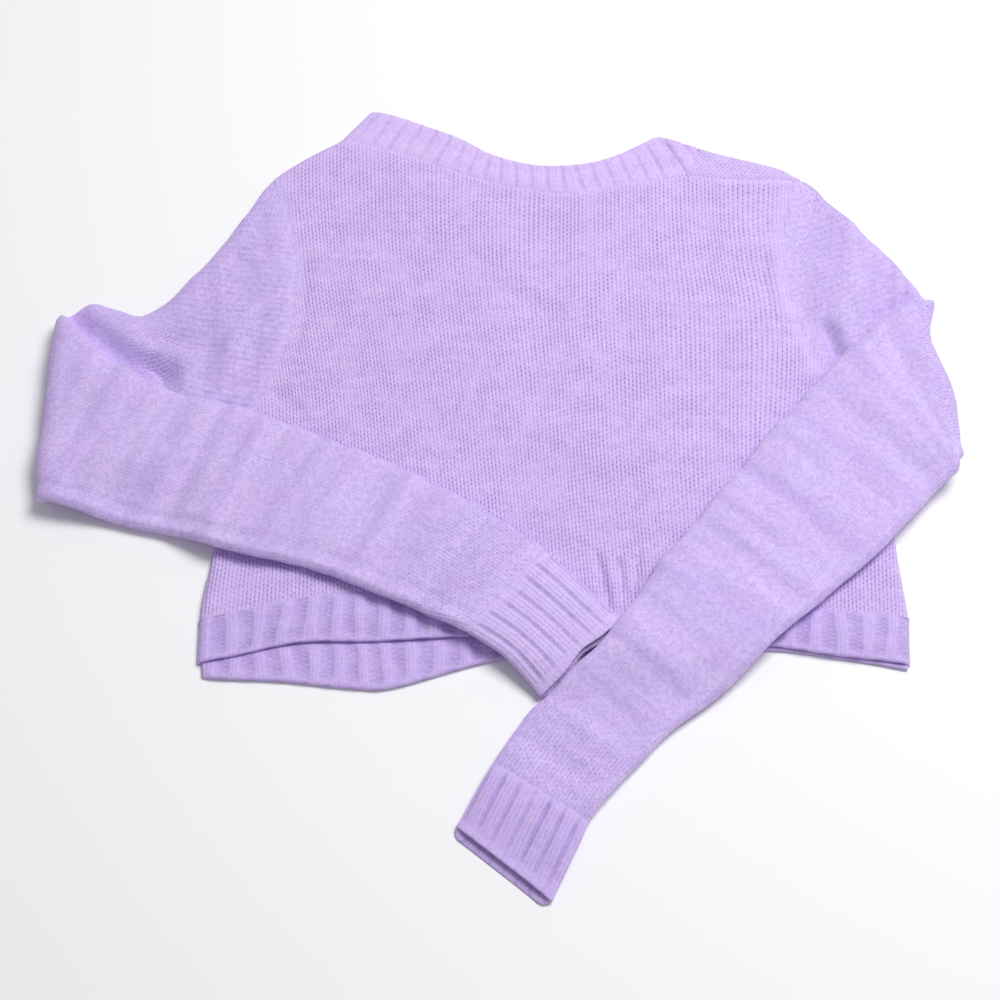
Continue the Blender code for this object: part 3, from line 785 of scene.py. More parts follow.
@dataclass(frozen=True)
class KnitFinish:
    """Dyed, brushed yarn as one kind of knitting shows it.

    Shade is painted into the dimples between stitches by dimple_shade_strength, in the colour
    dimple_shade, and onto the low parts of the legs by leg_shade; the nap hides up to all but
    least_cover of it. Bands are how finely the yarn's streaks run across, along and up.
    """

    name: str
    pattern: Pattern
    dimple_shade_strength: float
    least_cover: float
    bump: float
    knit_share: float = 0.5
    grain: float = 0.20
    bands: tuple[float, float, float] = (0.11, 0.42, 1.0)
    band_strength: float = 0.28
    light: Colour = (0.765, 0.596, 0.985, 1.0)
    warm: Colour = (0.775, 0.588, 0.968, 1.0)
    # middle: the yarn's mid tone, for its streaks and for the painted shade on the low parts of the
    # legs
    middle: Colour = (0.585, 0.437, 0.862, 1.0)
    # dimple_shade: the colour of the shade painted into the dimples and furrows, and of the fibres'
    # grain
    dimple_shade: Colour = (0.210, 0.130, 0.465, 1.0)
    # leg_shade: how much painted shade the low parts of the legs get
    leg_shade: float = 0.60
    fuzz_cover: float = 0.85
    stitch_depth: float = 0.0008
    fibre_depth: float = 0.8
    roughness: float = 0.92
    specular: float = 0.2
    sheen: float = 0.35
    sheen_roughness: float = 0.5
    sheen_tint: Colour = (0.90, 0.84, 1.0, 1.0)

    def material(self, groups: KnitGroups) -> bpy.types.Material:
        """Makes the material.

        Args:
            groups: the shared node groups.

        Returns:
            The new material.
        """
        material = bpy.data.materials.new(self.name)
        material.use_nodes = True
        n = Nodes(material.node_tree)
        shader = material.node_tree.nodes["Principled BSDF"]
        place = n.add("ShaderNodeTexCoord").outputs["Object"]
        stitch = n.tree.nodes.new("ShaderNodeUVMap")
        stitch.uv_map = "stitches"
        ribbed = self.pattern is Pattern.RIB
        knit = self.group(n, groups.rib if ribbed else groups.plain)
        n.feed(knit.inputs["Stitch"], stitch.outputs[0])
        if ribbed:
            knit.inputs["Knit share"].default_value = self.knit_share
        nap = self.group(n, groups.brushed)
        n.feed(nap.inputs["Place"], place)
        n.feed(nap.inputs["Stitch"], n.moved(stitch.outputs[0], self.bands))
        fuzz = n.tree.nodes.new("ShaderNodeAttribute")
        fuzz.attribute_name = "fuzz"
        felted = n.math("MULTIPLY", fuzz.outputs["Fac"], self.fuzz_cover)
        clear = n.math("SUBTRACT", 1.0, felted)
        covered = n.math("MULTIPLY", nap.outputs["Cover"], 1.0 - self.least_cover)
        shown = n.math("MULTIPLY", n.math("SUBTRACT", 1.0, covered), clear)
        # painted shade: the dimples between stitches are darkened towards dimple_shade where the
        # nap leaves them shown
        dimples = n.math("MULTIPLY", knit.outputs["Dimple shade"], shown)
        depth = n.math("MULTIPLY", dimples, self.dimple_shade_strength)
        yarn = n.mix(nap.outputs["Hue"], self.light, self.warm)
        # painted shade: the low parts of the legs are darkened towards middle by leg_shade
        low = n.math("SUBTRACT", 1.0, knit.outputs["Height"])
        shade = n.math("MULTIPLY", low, self.leg_shade)
        legs = n.mix(n.math("MULTIPLY", shade, shown), yarn, self.middle)
        streaks = n.math("MULTIPLY", nap.outputs["Streaks"], self.band_strength)
        base = n.mix(streaks, legs, self.middle)
        # the fibres' grain is a random dark tone, in the painted shade's colour
        grain = n.math("MULTIPLY", n.ramp(nap.outputs["Fibres"], 0.60, 0.38), self.grain)
        grained = n.mix(grain, base, self.dimple_shade)
        n.feed(shader.inputs["Base Color"], n.mix(depth, grained, self.dimple_shade))
        stitches = n.math("MULTIPLY", knit.outputs["Height"], shown)
        fibres = n.math("MULTIPLY", nap.outputs["Fibres"], self.fibre_depth)
        height = n.math("ADD", stitches, fibres)
        bump = n.add("ShaderNodeBump", Strength=self.bump, Height=height)
        bump.inputs["Distance"].default_value = self.stitch_depth
        n.feed(shader.inputs["Normal"], bump.outputs[0])
        shader.inputs["Roughness"].default_value = self.roughness
        shader.inputs["Specular IOR Level"].default_value = self.specular
        shader.inputs["Sheen Weight"].default_value = self.sheen
        shader.inputs["Sheen Roughness"].default_value = self.sheen_roughness
        shader.inputs["Sheen Tint"].default_value = self.sheen_tint
        return material

    @staticmethod
    def group(n: Nodes, tree: bpy.types.NodeTree) -> bpy.types.Node:
        """A node that uses a shared group.

        Args:
            n: the material's nodes.
            tree: the shared group.

        Returns:
            The new node.
        """
        node = n.tree.nodes.new("ShaderNodeGroup")
        node.node_tree = tree
        return node


SLEEVE_LIGHT: Colour = (0.755, 0.605, 0.992, 1.0)
SLEEVE_WARM: Colour = (0.765, 0.596, 0.980, 1.0)
# painted shade: a darker copy of the yarn's colours for the hems' and right cuff's ribbing, in
# place of the shade in its grooves
RIB_PAINTED_SHADE_LIGHT: Colour = (0.690, 0.540, 0.945, 1.0)
RIB_PAINTED_SHADE_WARM: Colour = (0.700, 0.530, 0.930, 1.0)
PLAIN_FINISH = KnitFinish("brushed_stockinette", Pattern.PLAIN, 1.04, 0.48, 0.70)
SLEEVE_FINISH = KnitFinish(
    "brushed_stockinette_soft",
    Pattern.PLAIN,
    dimple_shade_strength=1.00,
    least_cover=0.45,
    bump=0.50,
    grain=0.32,
    bands=(0.022, 0.21, 1.0),
    band_strength=0.55,
    light=SLEEVE_LIGHT,
    warm=SLEEVE_WARM,
)
BAND_FINISH = KnitFinish("brushed_neck_ribbing", Pattern.RIB, 0.24, 0.30, 0.45, knit_share=0.68)
HEM_FINISH = KnitFinish(
    "brushed_wide_ribbing",
    Pattern.RIB,
    dimple_shade_strength=0.46,
    least_cover=0.50,
    bump=0.60,
    knit_share=0.45,
    light=RIB_PAINTED_SHADE_LIGHT,
    warm=RIB_PAINTED_SHADE_WARM,
)
CUFF_FINISH = replace(
    HEM_FINISH,
    name="brushed_cuff_ribbing",
    dimple_shade_strength=0.50,
    least_cover=0.55,
    knit_share=0.74,
)
# the left cuff, of the same yarn, keeps the sleeve's colours without the ribbing's painted shade
LEFT_CUFF_FINISH = replace(
    CUFF_FINISH, name="brushed_cuff_ribbing_sleeve_tone", light=SLEEVE_LIGHT, warm=SLEEVE_WARM
)


# --------------------------------------------------------------------------------------- meshes


def grid_mesh(
    name: str, points: np.ndarray, stitches: np.ndarray, fuzz: np.ndarray
) -> bpy.types.Mesh:
    """A grid of faces on points, with the map that its knitting is drawn on.

    Args:
        name: the mesh's name.
        points: the places, rows first.
        stitches: the map's values in the same order.
        fuzz: how far the nap hides the stitches at each point, as a share.

    Returns:
        The new mesh, about the middle of the layout.
    """
    rows, columns = points.shape[0] - 1, points.shape[1] - 1
    work = bmesh.new()
    bmesh.ops.create_grid(work, x_segments=columns, y_segments=rows, size=0.5)
    mesh = bpy.data.meshes.new(name)
    work.to_mesh(mesh)
    work.free()
    points = nudged(points, NUDGES, NUDGE_REACH) - LAYOUT_CENTRE
    mesh.vertices.foreach_set("co", points.astype(np.float32).ravel())
    hidden = mesh.attributes.new("fuzz", "FLOAT", "POINT")
    hidden.data.foreach_set("value", fuzz.astype(np.float32).ravel())
    corners = np.empty(len(mesh.loops), dtype=np.int32)
    mesh.loops.foreach_get("vertex_index", corners)
    layer = mesh.uv_layers.new(name="stitches")
    layer.data.foreach_set("uv", stitches.reshape(-1, 2)[corners].astype(np.float32).ravel())
    mesh.update()
    return mesh


def trim(mesh: bpy.types.Mesh, kept: np.ndarray) -> None:
    """Keeps only the marked faces of a mesh.

    Args:
        mesh: the mesh to trim.
        kept: whether each of its faces stays, in their order.
    """
    work = bmesh.new()
    work.from_mesh(mesh)
    work.faces.ensure_lookup_table()
    gone = [work.faces[i] for i in np.flatnonzero(~kept)]
    bmesh.ops.delete(work, geom=gone, context="FACES")
    work.to_mesh(mesh)
    work.free()


def closed_round(mesh: bpy.types.Mesh, capped: bool = True) -> None:
    """Welds the first and last lines of a grid that runs round.

    Args:
        mesh: the grid's mesh.
        capped: whether the holes that stay open are filled.
    """
    work = bmesh.new()
    work.from_mesh(mesh)
    bmesh.ops.remove_doubles(work, verts=work.verts, dist=WELD)
    if capped:
        edges = [edge for edge in work.edges if edge.is_boundary]
        caps = bmesh.ops.holes_fill(work, edges=edges, sides=0)["faces"]
        bmesh.ops.triangulate(work, faces=caps)
    bmesh.ops.recalc_face_normals(work, faces=work.faces)
    work.to_mesh(mesh)
    work.free()


def rounded(start: np.ndarray, end: np.ndarray, outward: np.ndarray, steps: int) -> np.ndarray:
    """Rows of points round a rim, between the edges of two layers, without those edges.

    Args:
        start: the first layer's edge.
        end: the second layer's edge.
        outward: unit vectors that the rim bulges along.
        steps: how many straight steps it is rounded in.

    Returns:
        The rows, first index along the rounding.
    """
    middle = (start + end) / 2
    radius = np.linalg.norm(start - end, axis=-1, keepdims=True) / 2
    angles = (np.linspace(0, math.pi, steps + 1)[1:-1])[:, None, None]
    return middle + np.cos(angles) * (start - middle) + np.sin(angles) * outward * radius


def face_out(mesh: bpy.types.Mesh, up: bool) -> None:
    """Turns an open layer's faces so that most of them face up, or down.

    Args:
        mesh: the layer's mesh.
        up: whether most are to face up.
    """
    work = bmesh.new()
    work.from_mesh(mesh)
    total = sum(face.normal.z * face.calc_area() for face in work.faces)
    if (total > 0) != up:
        bmesh.ops.reverse_faces(work, faces=work.faces)
    work.to_mesh(mesh)
    work.free()


def add_object(mesh: bpy.types.Mesh) -> bpy.types.Object:
    """Makes the object of a finished mesh.

    Args:
        mesh: the finished mesh.

    Returns:
        The new object, in the scene.
    """
    mesh.shade_smooth()
    made = bpy.data.objects.new(mesh.name, mesh)
    bpy.context.scene.collection.objects.link(made)
    return made


class Held(Enum):
    """What keeps a sheet of cloth in its shape."""

    LAID = "laid"
    FOLDED = "folded"


@dataclass(frozen=True)
class Cloth:
    """A piece before it was laid down, all round on a tube, and how it lies now."""

    flat: tuple[float, float]
    area: float
    held: Held
    rests_on: tuple[str, ...]


@dataclass
class KnitPiece:
    """One knitted piece of the sweater: the node it stands for, its finish and its cloth."""

    node: str
    finish: KnitFinish
    cloth: Cloth

    def shape(self) -> bpy.types.Mesh:
        """Builds the piece's mesh."""
        raise NotImplementedError

    def add(self, groups: KnitGroups) -> bpy.types.Object:
        """Args:
            groups: the shared node groups.

        Returns:
            The finished object.
        """
        mesh = self.shape()
        made = add_object(mesh)
        made.data.materials.append(self.finish.material(groups))
        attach(made, "root")
        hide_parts(self.node)
        LOG.info("%s: %d faces", made.name, len(mesh.polygons))
        return made


# ------------------------------------------------------------------------------------ the body


@dataclass(frozen=True)
class ArmSections:
    """A sleeve's cross sections as it lies, and what its forearm lies on.

    A section's row is its middle (x, y), the heading of its line in degrees and its width. A
    pad is the lines that it lies to the left of, each (x, y, heading), and its height.
    """

    side: int
    fold_x: float
    armhole_bow: float
    upper: np.ndarray
    forearm: np.ndarray
    cuff: np.ndarray
    pads: tuple[tuple[tuple[tuple[float, float, float], ...], float], ...]

    @property
    def elbow(self) -> Fold:
        """The line that the sleeve is folded back over."""
        return Fold(self.fold_x, 0.0, -90.0 * self.side, ELBOW_HEIGHT, ELBOW_NEUTRAL)

    def outward(self, sections: np.ndarray) -> np.ndarray:
        """The way that the sleeve runs at sections, towards its cuff."""
        way = way_of(sections[..., 2])
        return self.side * np.stack((way[..., 1], -way[..., 0]), axis=-1)

    def on_section(self, sections: np.ndarray, across: np.ndarray, bow: np.ndarray) -> np.ndarray:
        """Points of sections, from above.

        Args:
            sections: the cross sections.
            across: where on them, 1 at the sleeve's top edge and -1 at the underarm's.
            bow: how far their middles bow back towards the body.

        Returns:
            The points.
        """
        along = way_of(sections[..., 2]) * (sections[..., 3] / 2 * across)[..., None]
        back = self.outward(sections) * (bow * (1 - across**2))[..., None]
        return sections[..., :2] + along - back

    def armhole(self, across: np.ndarray) -> np.ndarray:
        """The armhole seam from above."""
        first = np.broadcast_to(self.upper[0], (*across.shape, 4))
        return self.on_section(first, across, np.full(across.shape, self.armhole_bow))

    def armhole_line(self) -> np.ndarray:
        """The armhole seam's points, from the underarm to the shoulder."""
        return self.armhole(np.linspace(-1, 1, 40))

    def before_fold(self, sections: np.ndarray) -> np.ndarray:
        """Sections of the forearm as they are before the elbow is folded."""
        places = self.elbow.unfolded(sections[:, :2])
        return np.column_stack((places, 180 - sections[:, 2], sections[:, 3]))

    def lift(self, points: np.ndarray) -> np.ndarray:
        """How high the forearm's underside lies over places.

        Args:
            points: places from above.

        Returns:
            The heights.
        """
        total = np.zeros(points.shape[:-1])
        for lines, height in self.pads:
            depths = [Fold(x, y, heading, 0, 1).inside(points) for x, y, heading in lines]
            depth = np.minimum.reduce(depths)
            total += (height * soft_step(1 + depth / LIFT_EASE)) ** LIFT_SHARPNESS
        return total ** (1 / LIFT_SHARPNESS)


LEFT_ARM = ArmSections(
    side=-1,
    fold_x=-0.3215,
    armhole_bow=0.024,
    upper=np.array(
        (
            (-0.1820, 0.1475, 85.4, 0.2237),
            (-0.2166, 0.1048, 93.0, 0.1590),
            (-0.2408, 0.0812, 101.0, 0.1300),
            (-0.2732, 0.0737, 110.0, 0.1390),
            (-0.3027, 0.0592, 117.0, 0.1370),
        )
    ),
    forearm=np.array(
        (
            (-0.3150, 0.0300, 66.0, 0.1270),
            (-0.2655, 0.0045, 68.6, 0.1225),
            (-0.1975, -0.0130, 68.6, 0.1170),
            (-0.1180, -0.0385, 63.2, 0.1030),
            (-0.0545, -0.0690, 58.1, 0.0960),
            (0.0025, -0.1040, 49.2, 0.0870),
        )
    ),
    cuff=np.array(
        (
            (0.0025, -0.1040, 49.2, 0.0870),
            (0.0300, -0.1290, 48.8, 0.0810),
            (0.0550, -0.1530, 48.5, 0.0790),
        )
    ),
    pads=(
        (((-0.333, -0.031, 25.3),), SLEEVE_HEIGHT + FOLD_GAP),
        (((-0.191, 0.036, -95.8), (0.0, -0.152, 0.0)), BODY_LIFT),
    ),
)
RIGHT_ARM = ArmSections(
    side=1,
    fold_x=0.3240,
    armhole_bow=0.027,
    upper=np.array(
        (
            (0.2485, 0.1545, 100.6, 0.2126),
            (0.2700, 0.1350, 96.0, 0.1860),
            (0.2955, 0.1090, 92.5, 0.1600),
            (0.3200, 0.0820, 90.0, 0.1380),
        )
    ),
    forearm=np.array(
        (
            (0.3110, 0.0650, 108.0, 0.1290),
            (0.2930, 0.0450, 122.0, 0.1250),
            (0.2660, 0.0190, 136.0, 0.1190),
            (0.2245, -0.0305, 138.0, 0.1180),
            (0.1850, -0.0745, 139.0, 0.1080),
            (0.1480, -0.1140, 138.2, 0.1000),
            (0.1125, -0.1585, 137.0, 0.0880),
            (0.0760, -0.1930, 140.5, 0.0800),
            (0.0290, -0.2520, 146.0, 0.0750),
        )
    ),
    cuff=np.array(
        (
            (0.0290, -0.2520, 146.0, 0.0750),
            (0.0140, -0.2780, 141.5, 0.0780),
            (0.0010, -0.3020, 137.0, 0.0820),
        )
    ),
    pads=(
        (((0.268, 0.050, -33.7),), SLEEVE_HEIGHT + FOLD_GAP),
        (((0.284, -0.121, 95.3), (0.0, -0.147, 0.0)), BODY_LIFT),
    ),
)


class Outline:
    """The back panel's edge from above: hem, sides, armholes, shoulders and neck."""

    SAMPLES = 60

    def __init__(self) -> None:
        """Works out each stretch of the edge and joins them to one loop."""
        shares = np.linspace(0, 1, self.SAMPLES)
        across = np.linspace(-1, 1, self.SAMPLES)
        self.hem = Path(BACK_HEM).at(shares)
        self.right = np.concatenate((Path(RIGHT_SIDE).at(shares)[:-1], RIGHT_ARM.armhole(across)))
        self.left = np.concatenate((Path(LEFT_SIDE).at(shares)[:-1], LEFT_ARM.armhole(across)))
        self.left_shoulder = Path(LEFT_SHOULDER).at(shares)
        self.neck = Path(BACK_NECK).at(shares)
        self.right_shoulder = Path(RIGHT_SHOULDER).at(shares)
        self.top = np.concatenate((self.left_shoulder, self.neck[1:], self.right_shoulder[1:]))
        loop = (self.hem, self.right[1:], self.top[::-1][1:], self.left[::-1][1:-1])
        self.loop = np.concatenate(loop)

    def closed(self) -> np.ndarray:
        """The whole edge with its first point again at its end."""
        return np.concatenate((self.loop, self.loop[:1]))


BACK_CREASES = (
    Crease(((-0.031, 0.171), (0.004, 0.156), (0.073, 0.106)), -0.0013, 0.011),
    Crease(((-0.028, 0.182), (0.010, 0.167), (0.080, 0.118)), 0.0007, 0.009),
    Crease(((0.225, 0.243), (0.207, 0.223), (0.190, 0.205)), -0.0016, 0.010),
    Crease(((0.0640, -0.060), (0.0700, -0.0850), (0.0760, -0.1180)), -0.0028, 0.0036, 0.25),
    Crease(((0.0800, -0.066), (0.0840, -0.0920), (0.0850, -0.1200)), -0.0030, 0.0034, 0.25),
    Crease(((0.0980, -0.062), (0.0935, -0.0920), (0.0900, -0.1200)), -0.0024, 0.0036, 0.25),
    Crease(((0.0725, -0.066), (0.0775, -0.0900), (0.0805, -0.1180)), 0.0012, 0.0035, 0.25),
    Crease(((-0.174, 0.070), (-0.159, 0.056), (-0.140, 0.038)), -0.0016, 0.007),
    Crease(((-0.166, 0.078), (-0.150, 0.064), (-0.132, 0.047)), 0.0010, 0.006),
    Crease(
        (
            (0.2014, 0.2066),
            (0.2005, 0.1652),
            (0.2022, 0.1431),
            (0.2132, 0.1159),
            (0.2319, 0.1060),
        ),
        -0.0007,
        0.0022,
        0.25,
    ),
    Crease(
        ((0.2110, 0.2066), (0.2105, 0.1652), (0.2125, 0.1431), (0.2230, 0.1200)),
        0.0009,
        0.0060,
        0.2,
    ),
    Crease(
        ((-0.1560, 0.2200), (-0.1480, 0.1700), (-0.1500, 0.1200), (-0.1600, 0.0800)),
        -0.0007,
        0.0040,
        0.3,
    ),
)


@dataclass(frozen=True)
class Lean:
    """How far the wales lean over the back, in degrees, positive to +X as they climb."""

    x: tuple[float, ...]
    y: tuple[float, ...]
    degrees: tuple[tuple[float, ...], ...]

    def at(self, places: np.ndarray) -> np.ndarray:
        """The lean at places, blended softly between the table's entries.

        Args:
            places: a grid of places, of which x and y are read.

        Returns:
            The degrees at each place.
        """
        table = np.array(self.degrees)
        column = np.interp(places[..., 0], self.x, np.arange(len(self.x)))
        row = np.interp(places[..., 1], self.y, np.arange(len(self.y)))
        i = np.minimum(column.astype(int), len(self.x) - 2)
        j = np.minimum(row.astype(int), len(self.y) - 2)
        u, v = soft_step(column - i), soft_step(row - j)
        low = blend(table[j, i], table[j, i + 1], u)
        return blend(low, blend(table[j + 1, i], table[j + 1, i + 1], u), v)


LEAN = Lean(
    x=(-0.165, -0.122, -0.065, -0.007, 0.050, 0.108, 0.166, 0.210, 0.260),
    y=(-0.120, -0.060, 0.000, 0.045, 0.090, 0.130, 0.165, 0.200, 0.240),
    degrees=(
        (0, 0, -1, -1, -2, -1, 1, 2, 2),
        (-2, -3, -4, -4, -4, -3, 1, 4, 4),
        (-4, -5, -6, -5, -3, -2, 1, 5, 6),
        (-5, -6, -6, -5, -1, 1, 3, 7, 8),
        (-10, -9, -7, -6, -4, 0, 3, 5, 6),
        (-11, -9, -7, -6, -2, 0, 1, 0, 0),
        (-8, -8, -7, -4, 1, -1, -5, -7, -7),
        (-4, -5, -4, -1, 1, 0, -3, -2, -2),
        (-1, -2, -2, 2, 1, 1, 1, 2, 2),
    ),
)


@dataclass
class BackPanel(KnitPiece):
    """The back, stitch by stitch: wales lean and spread from the hem up to the shoulders."""

    relief: float = 0.0012
    per_wale: int = 4
    per_course: int = 2
    courses: int = 112
    span: tuple[float, float] = (-0.235, 0.315)
    low_y: float = -0.104
    level_at: float = 0.38
    outline: Outline = field(default_factory=Outline)

    def places(self) -> tuple[np.ndarray, np.ndarray]:
        """Lays the stitches out.

        Returns:
            The grid's places from above, and its map in stitches.
        """
        low, high = self.span
        wales = round((high - low) / GAUGE.wale)
        s = np.arange(wales * self.per_wale + 1) / self.per_wale
        t = np.arange(self.courses * self.per_course + 1) / self.per_course - 2
        x = low + s * GAUGE.wale
        hem = np.interp(x, self.outline.hem[:, 0], self.outline.hem[:, 1])
        rows = []
        for course in t:
            arch = 1 - 0.7 * float(soft_step(np.array(course * GAUGE.course / self.level_at)))
            y = blend(self.low_y, hem, arch) + course * GAUGE.course
            rows.append(np.stack((x, y), axis=-1))
            x = x + np.tan(np.radians(LEAN.at(rows[-1]))) * GAUGE.course / self.per_course
        return np.stack(rows), np.stack(np.meshgrid(s, t), axis=-1)

    def heights(self, plan: np.ndarray, edge: np.ndarray) -> np.ndarray:
        """How high the back lies.

        Args:
            plan: places from above.
            edge: how far each lies within the outline.

        Returns:
            The heights over the table, without the stitches.
        """
        flat = plan.reshape(-1, 2)
        shape = plan.shape[:-1]
        z = BODY_HEIGHT + 0.0013 * Unevenness(3, 0.085, 1.6).at(plan) * soft_step(edge / 0.02)
        z += 0.0005 * Unevenness(8, 0.028, 1.8).at(plan) * soft_step(edge / 0.01)
        for crease in BACK_CREASES:
            z += crease.at(plan)
        rolled = np.zeros(shape)
        for rows in (LEFT_SIDE, RIGHT_SIDE):
            distance, _near, share = nearest_on(Path(rows).points, flat)
            turn = np.clip(1 - distance / BODY_HEIGHT, 0, 1) * soft_step((1 - share) / 0.25)
            rolled = np.maximum(rolled, turn.reshape(shape))
        distance, _near, _share = nearest_on(self.outline.left_shoulder, flat)
        rolled = np.maximum(rolled, np.clip(1 - distance / BODY_HEIGHT, 0, 1).reshape(shape))
        z *= np.sqrt(np.maximum(1 - rolled**2, 0.0))
        for line, depth in (
            (self.outline.neck, 0.0009),
            (self.outline.right_shoulder, 0.0007),
            (self.outline.hem, 0.0005),
            (LEFT_ARM.armhole_line(), 0.0005),
            (RIGHT_ARM.armhole_line(), 0.0006),
        ):
            distance = nearest_on(line, flat)[0].reshape(shape)
            z -= depth * bell(distance / 0.003) * (1 - rolled)
        return z

    def fuzz(self, plan: np.ndarray) -> np.ndarray:
        """Where the seams' felted edges hide the stitches, as a share.

        Args:
            plan: places from above.

        Returns:
            The share at each place.
        """
        hidden = np.zeros(plan.shape[:-1])
        strips = (
            (LEFT_ARM.armhole_line(), 0.0, 0.0065, 0.9),
            (RIGHT_ARM.armhole_line(), 0.007, 0.0055, 0.9),
            (self.outline.hem, 0.0, 0.0030, 0.6),
            (self.outline.neck, 0.0, 0.0035, 0.8),
            (self.outline.right_shoulder, 0.0, 0.0035, 0.8),
            (self.outline.left_shoulder, 0.0, 0.006, 0.9),
        )
        for line, middle, width, share in strips:
            distance = nearest_on(line, plan.reshape(-1, 2))[0].reshape(hidden.shape)
            hidden = np.maximum(hidden, share * bell((distance - middle) / width))
        return hidden

    def shape(self) -> bpy.types.Mesh:
        """Builds the panel, trimmed to its outline.

        Returns:
            The panel's mesh.
        """
        plan, stitches = self.places()
        shape = plan.shape[:-1]
        flat = plan.reshape(-1, 2)
        distance, nearest, _share = nearest_on(self.outline.closed(), flat)
        within = is_within(self.outline.loop, flat)
        centres = (plan[:-1, :-1] + plan[1:, :-1] + plan[:-1, 1:] + plan[1:, 1:]) / 4
        kept = is_within(self.outline.loop, centres.reshape(-1, 2)).reshape(centres.shape[:-1])
        around = np.zeros(shape)
        for rows in (slice(0, -1), slice(1, None)):
            for columns in (slice(0, -1), slice(1, None)):
                around[rows, columns] += kept
        rim = ((around > 0) & (around < 4)).ravel()
        edge = np.where(within & ~rim, distance, 0.0).reshape(shape)
        plan = np.where(rim[:, None], nearest, flat).reshape(plan.shape)
        points = raised(plan, self.heights(plan, edge))
        relief = Stitches.plain(stitches[..., 0], stitches[..., 1]) - 0.5
        fuzz = self.fuzz(plan)
        worn = 0.75 + 0.25 * Unevenness(5, 0.02).at(plan)
        strength = self.relief * soft_step(edge / 0.003) * worn
        points += normals_of(points) * (relief * strength * (1 - 0.7 * fuzz))[..., None]
        mesh = grid_mesh("back_cloth", points, stitches, fuzz)
        trim(mesh, kept.ravel())
        face_out(mesh, up=True)
        return mesh


def front_neck_line() -> Path:
    """The front's neck edge before the shoulder is folded, from shoulder to shoulder.

    Returns:
        The line.
    """
    left = Path(LEFT_SHOULDER).points[-1:] + FRONT_LEFT_OFFSET
    right = SHOULDER_FOLD.unfolded(RIGHT_SHOULDER[:1] + FRONT_RIGHT_OFFSET)
    return Path(np.concatenate((left, FRONT_NECK[1:-1], right)))


@dataclass
class FrontPanel(KnitPiece):
    """The front, flat on the table, its right shoulder folded over onto the back."""

    columns: int = 200
    rows: tuple[int, int] = (88, 46)
    lip: float = 0.10
    lip_fuzz: float = 0.45
    hole: tuple[float, float] = (-0.97, 0.95)
    tip_move: tuple[float, float, float, float] = (0.231, 0.2635, -0.0015, -0.0035)
    tip_reach: float = 0.012

    def plan(self) -> np.ndarray:
        """The panel from above, its right shoulder laid out flat, with close rows at its top.

        Returns:
            A grid of places, from the hem up.
        """
        across = np.linspace(0, 1, self.columns + 1)
        low = np.linspace(0, 1 - self.lip, self.rows[0] + 1)
        along = np.concatenate((low, np.linspace(1 - self.lip, 1, self.rows[1] + 1)[1:]))
        bottom = Path(FRONT_HEM).at(across)
        left_edge = Path(LEFT_SHOULDER).points + FRONT_LEFT_OFFSET
        seam = SHOULDER_FOLD.unfolded(Path(RIGHT_SHOULDER).points + FRONT_RIGHT_OFFSET)
        neck = front_neck_line().points
        top = Path(np.concatenate((left_edge, neck[1:], seam[1:])), smooth=False).at(across)
        sides = []
        ends = (LEFT_SIDE, LEFT_ARM, left_edge[0]), (RIGHT_SIDE, RIGHT_ARM, seam[-1])
        for rows, arm, end in ends:
            side = Path(rows).points + np.array((-arm.side * WALL, 0.0))
            hole = arm.armhole(np.linspace(*self.hole, 60))
            sides.append(Path(np.concatenate((side, hole, end[None])), smooth=False).at(along))
        u, v = across[None, :, None], along[:, None, None]
        sides[0][0], sides[0][-1] = bottom[0], top[0]
        sides[1][0], sides[1][-1] = bottom[-1], top[-1]
        corners = blend(blend(bottom[0], bottom[-1], u), blend(top[0], top[-1], u), v)
        ruled = blend(sides[0][:, None], sides[1][:, None], u) + blend(bottom[None], top[None], v)
        return ruled - corners

    def shape(self) -> bpy.types.Mesh:
        """Builds the panel as its outer face, with the shoulder's lip folded over.

        Returns:
            The panel's mesh.
        """
        plan = self.plan()
        points, beyond = SHOULDER_FOLD.folded(raised(plan, 0.0))
        stitches = np.stack((plan[..., 0] / GAUGE.wale, plan[..., 1] / GAUGE.course), axis=-1)
        distance = nearest_on(Path(RIGHT_SHOULDER).points, points[..., :2].reshape(-1, 2))[0]
        seam = bell(distance.reshape(beyond.shape) / 0.0022)
        over = soft_step((beyond - 0.004) / 0.006)
        points[..., 2] += over * (0.0004 * Unevenness(12, 0.03).at(plan) - 0.0012 * seam)
        points = nudged(points, np.array((self.tip_move,)), self.tip_reach)
        mesh = grid_mesh("front_cloth", points, stitches, self.lip_fuzz * soft_step(beyond / 0.004))
        face_out(mesh, up=False)
        return mesh


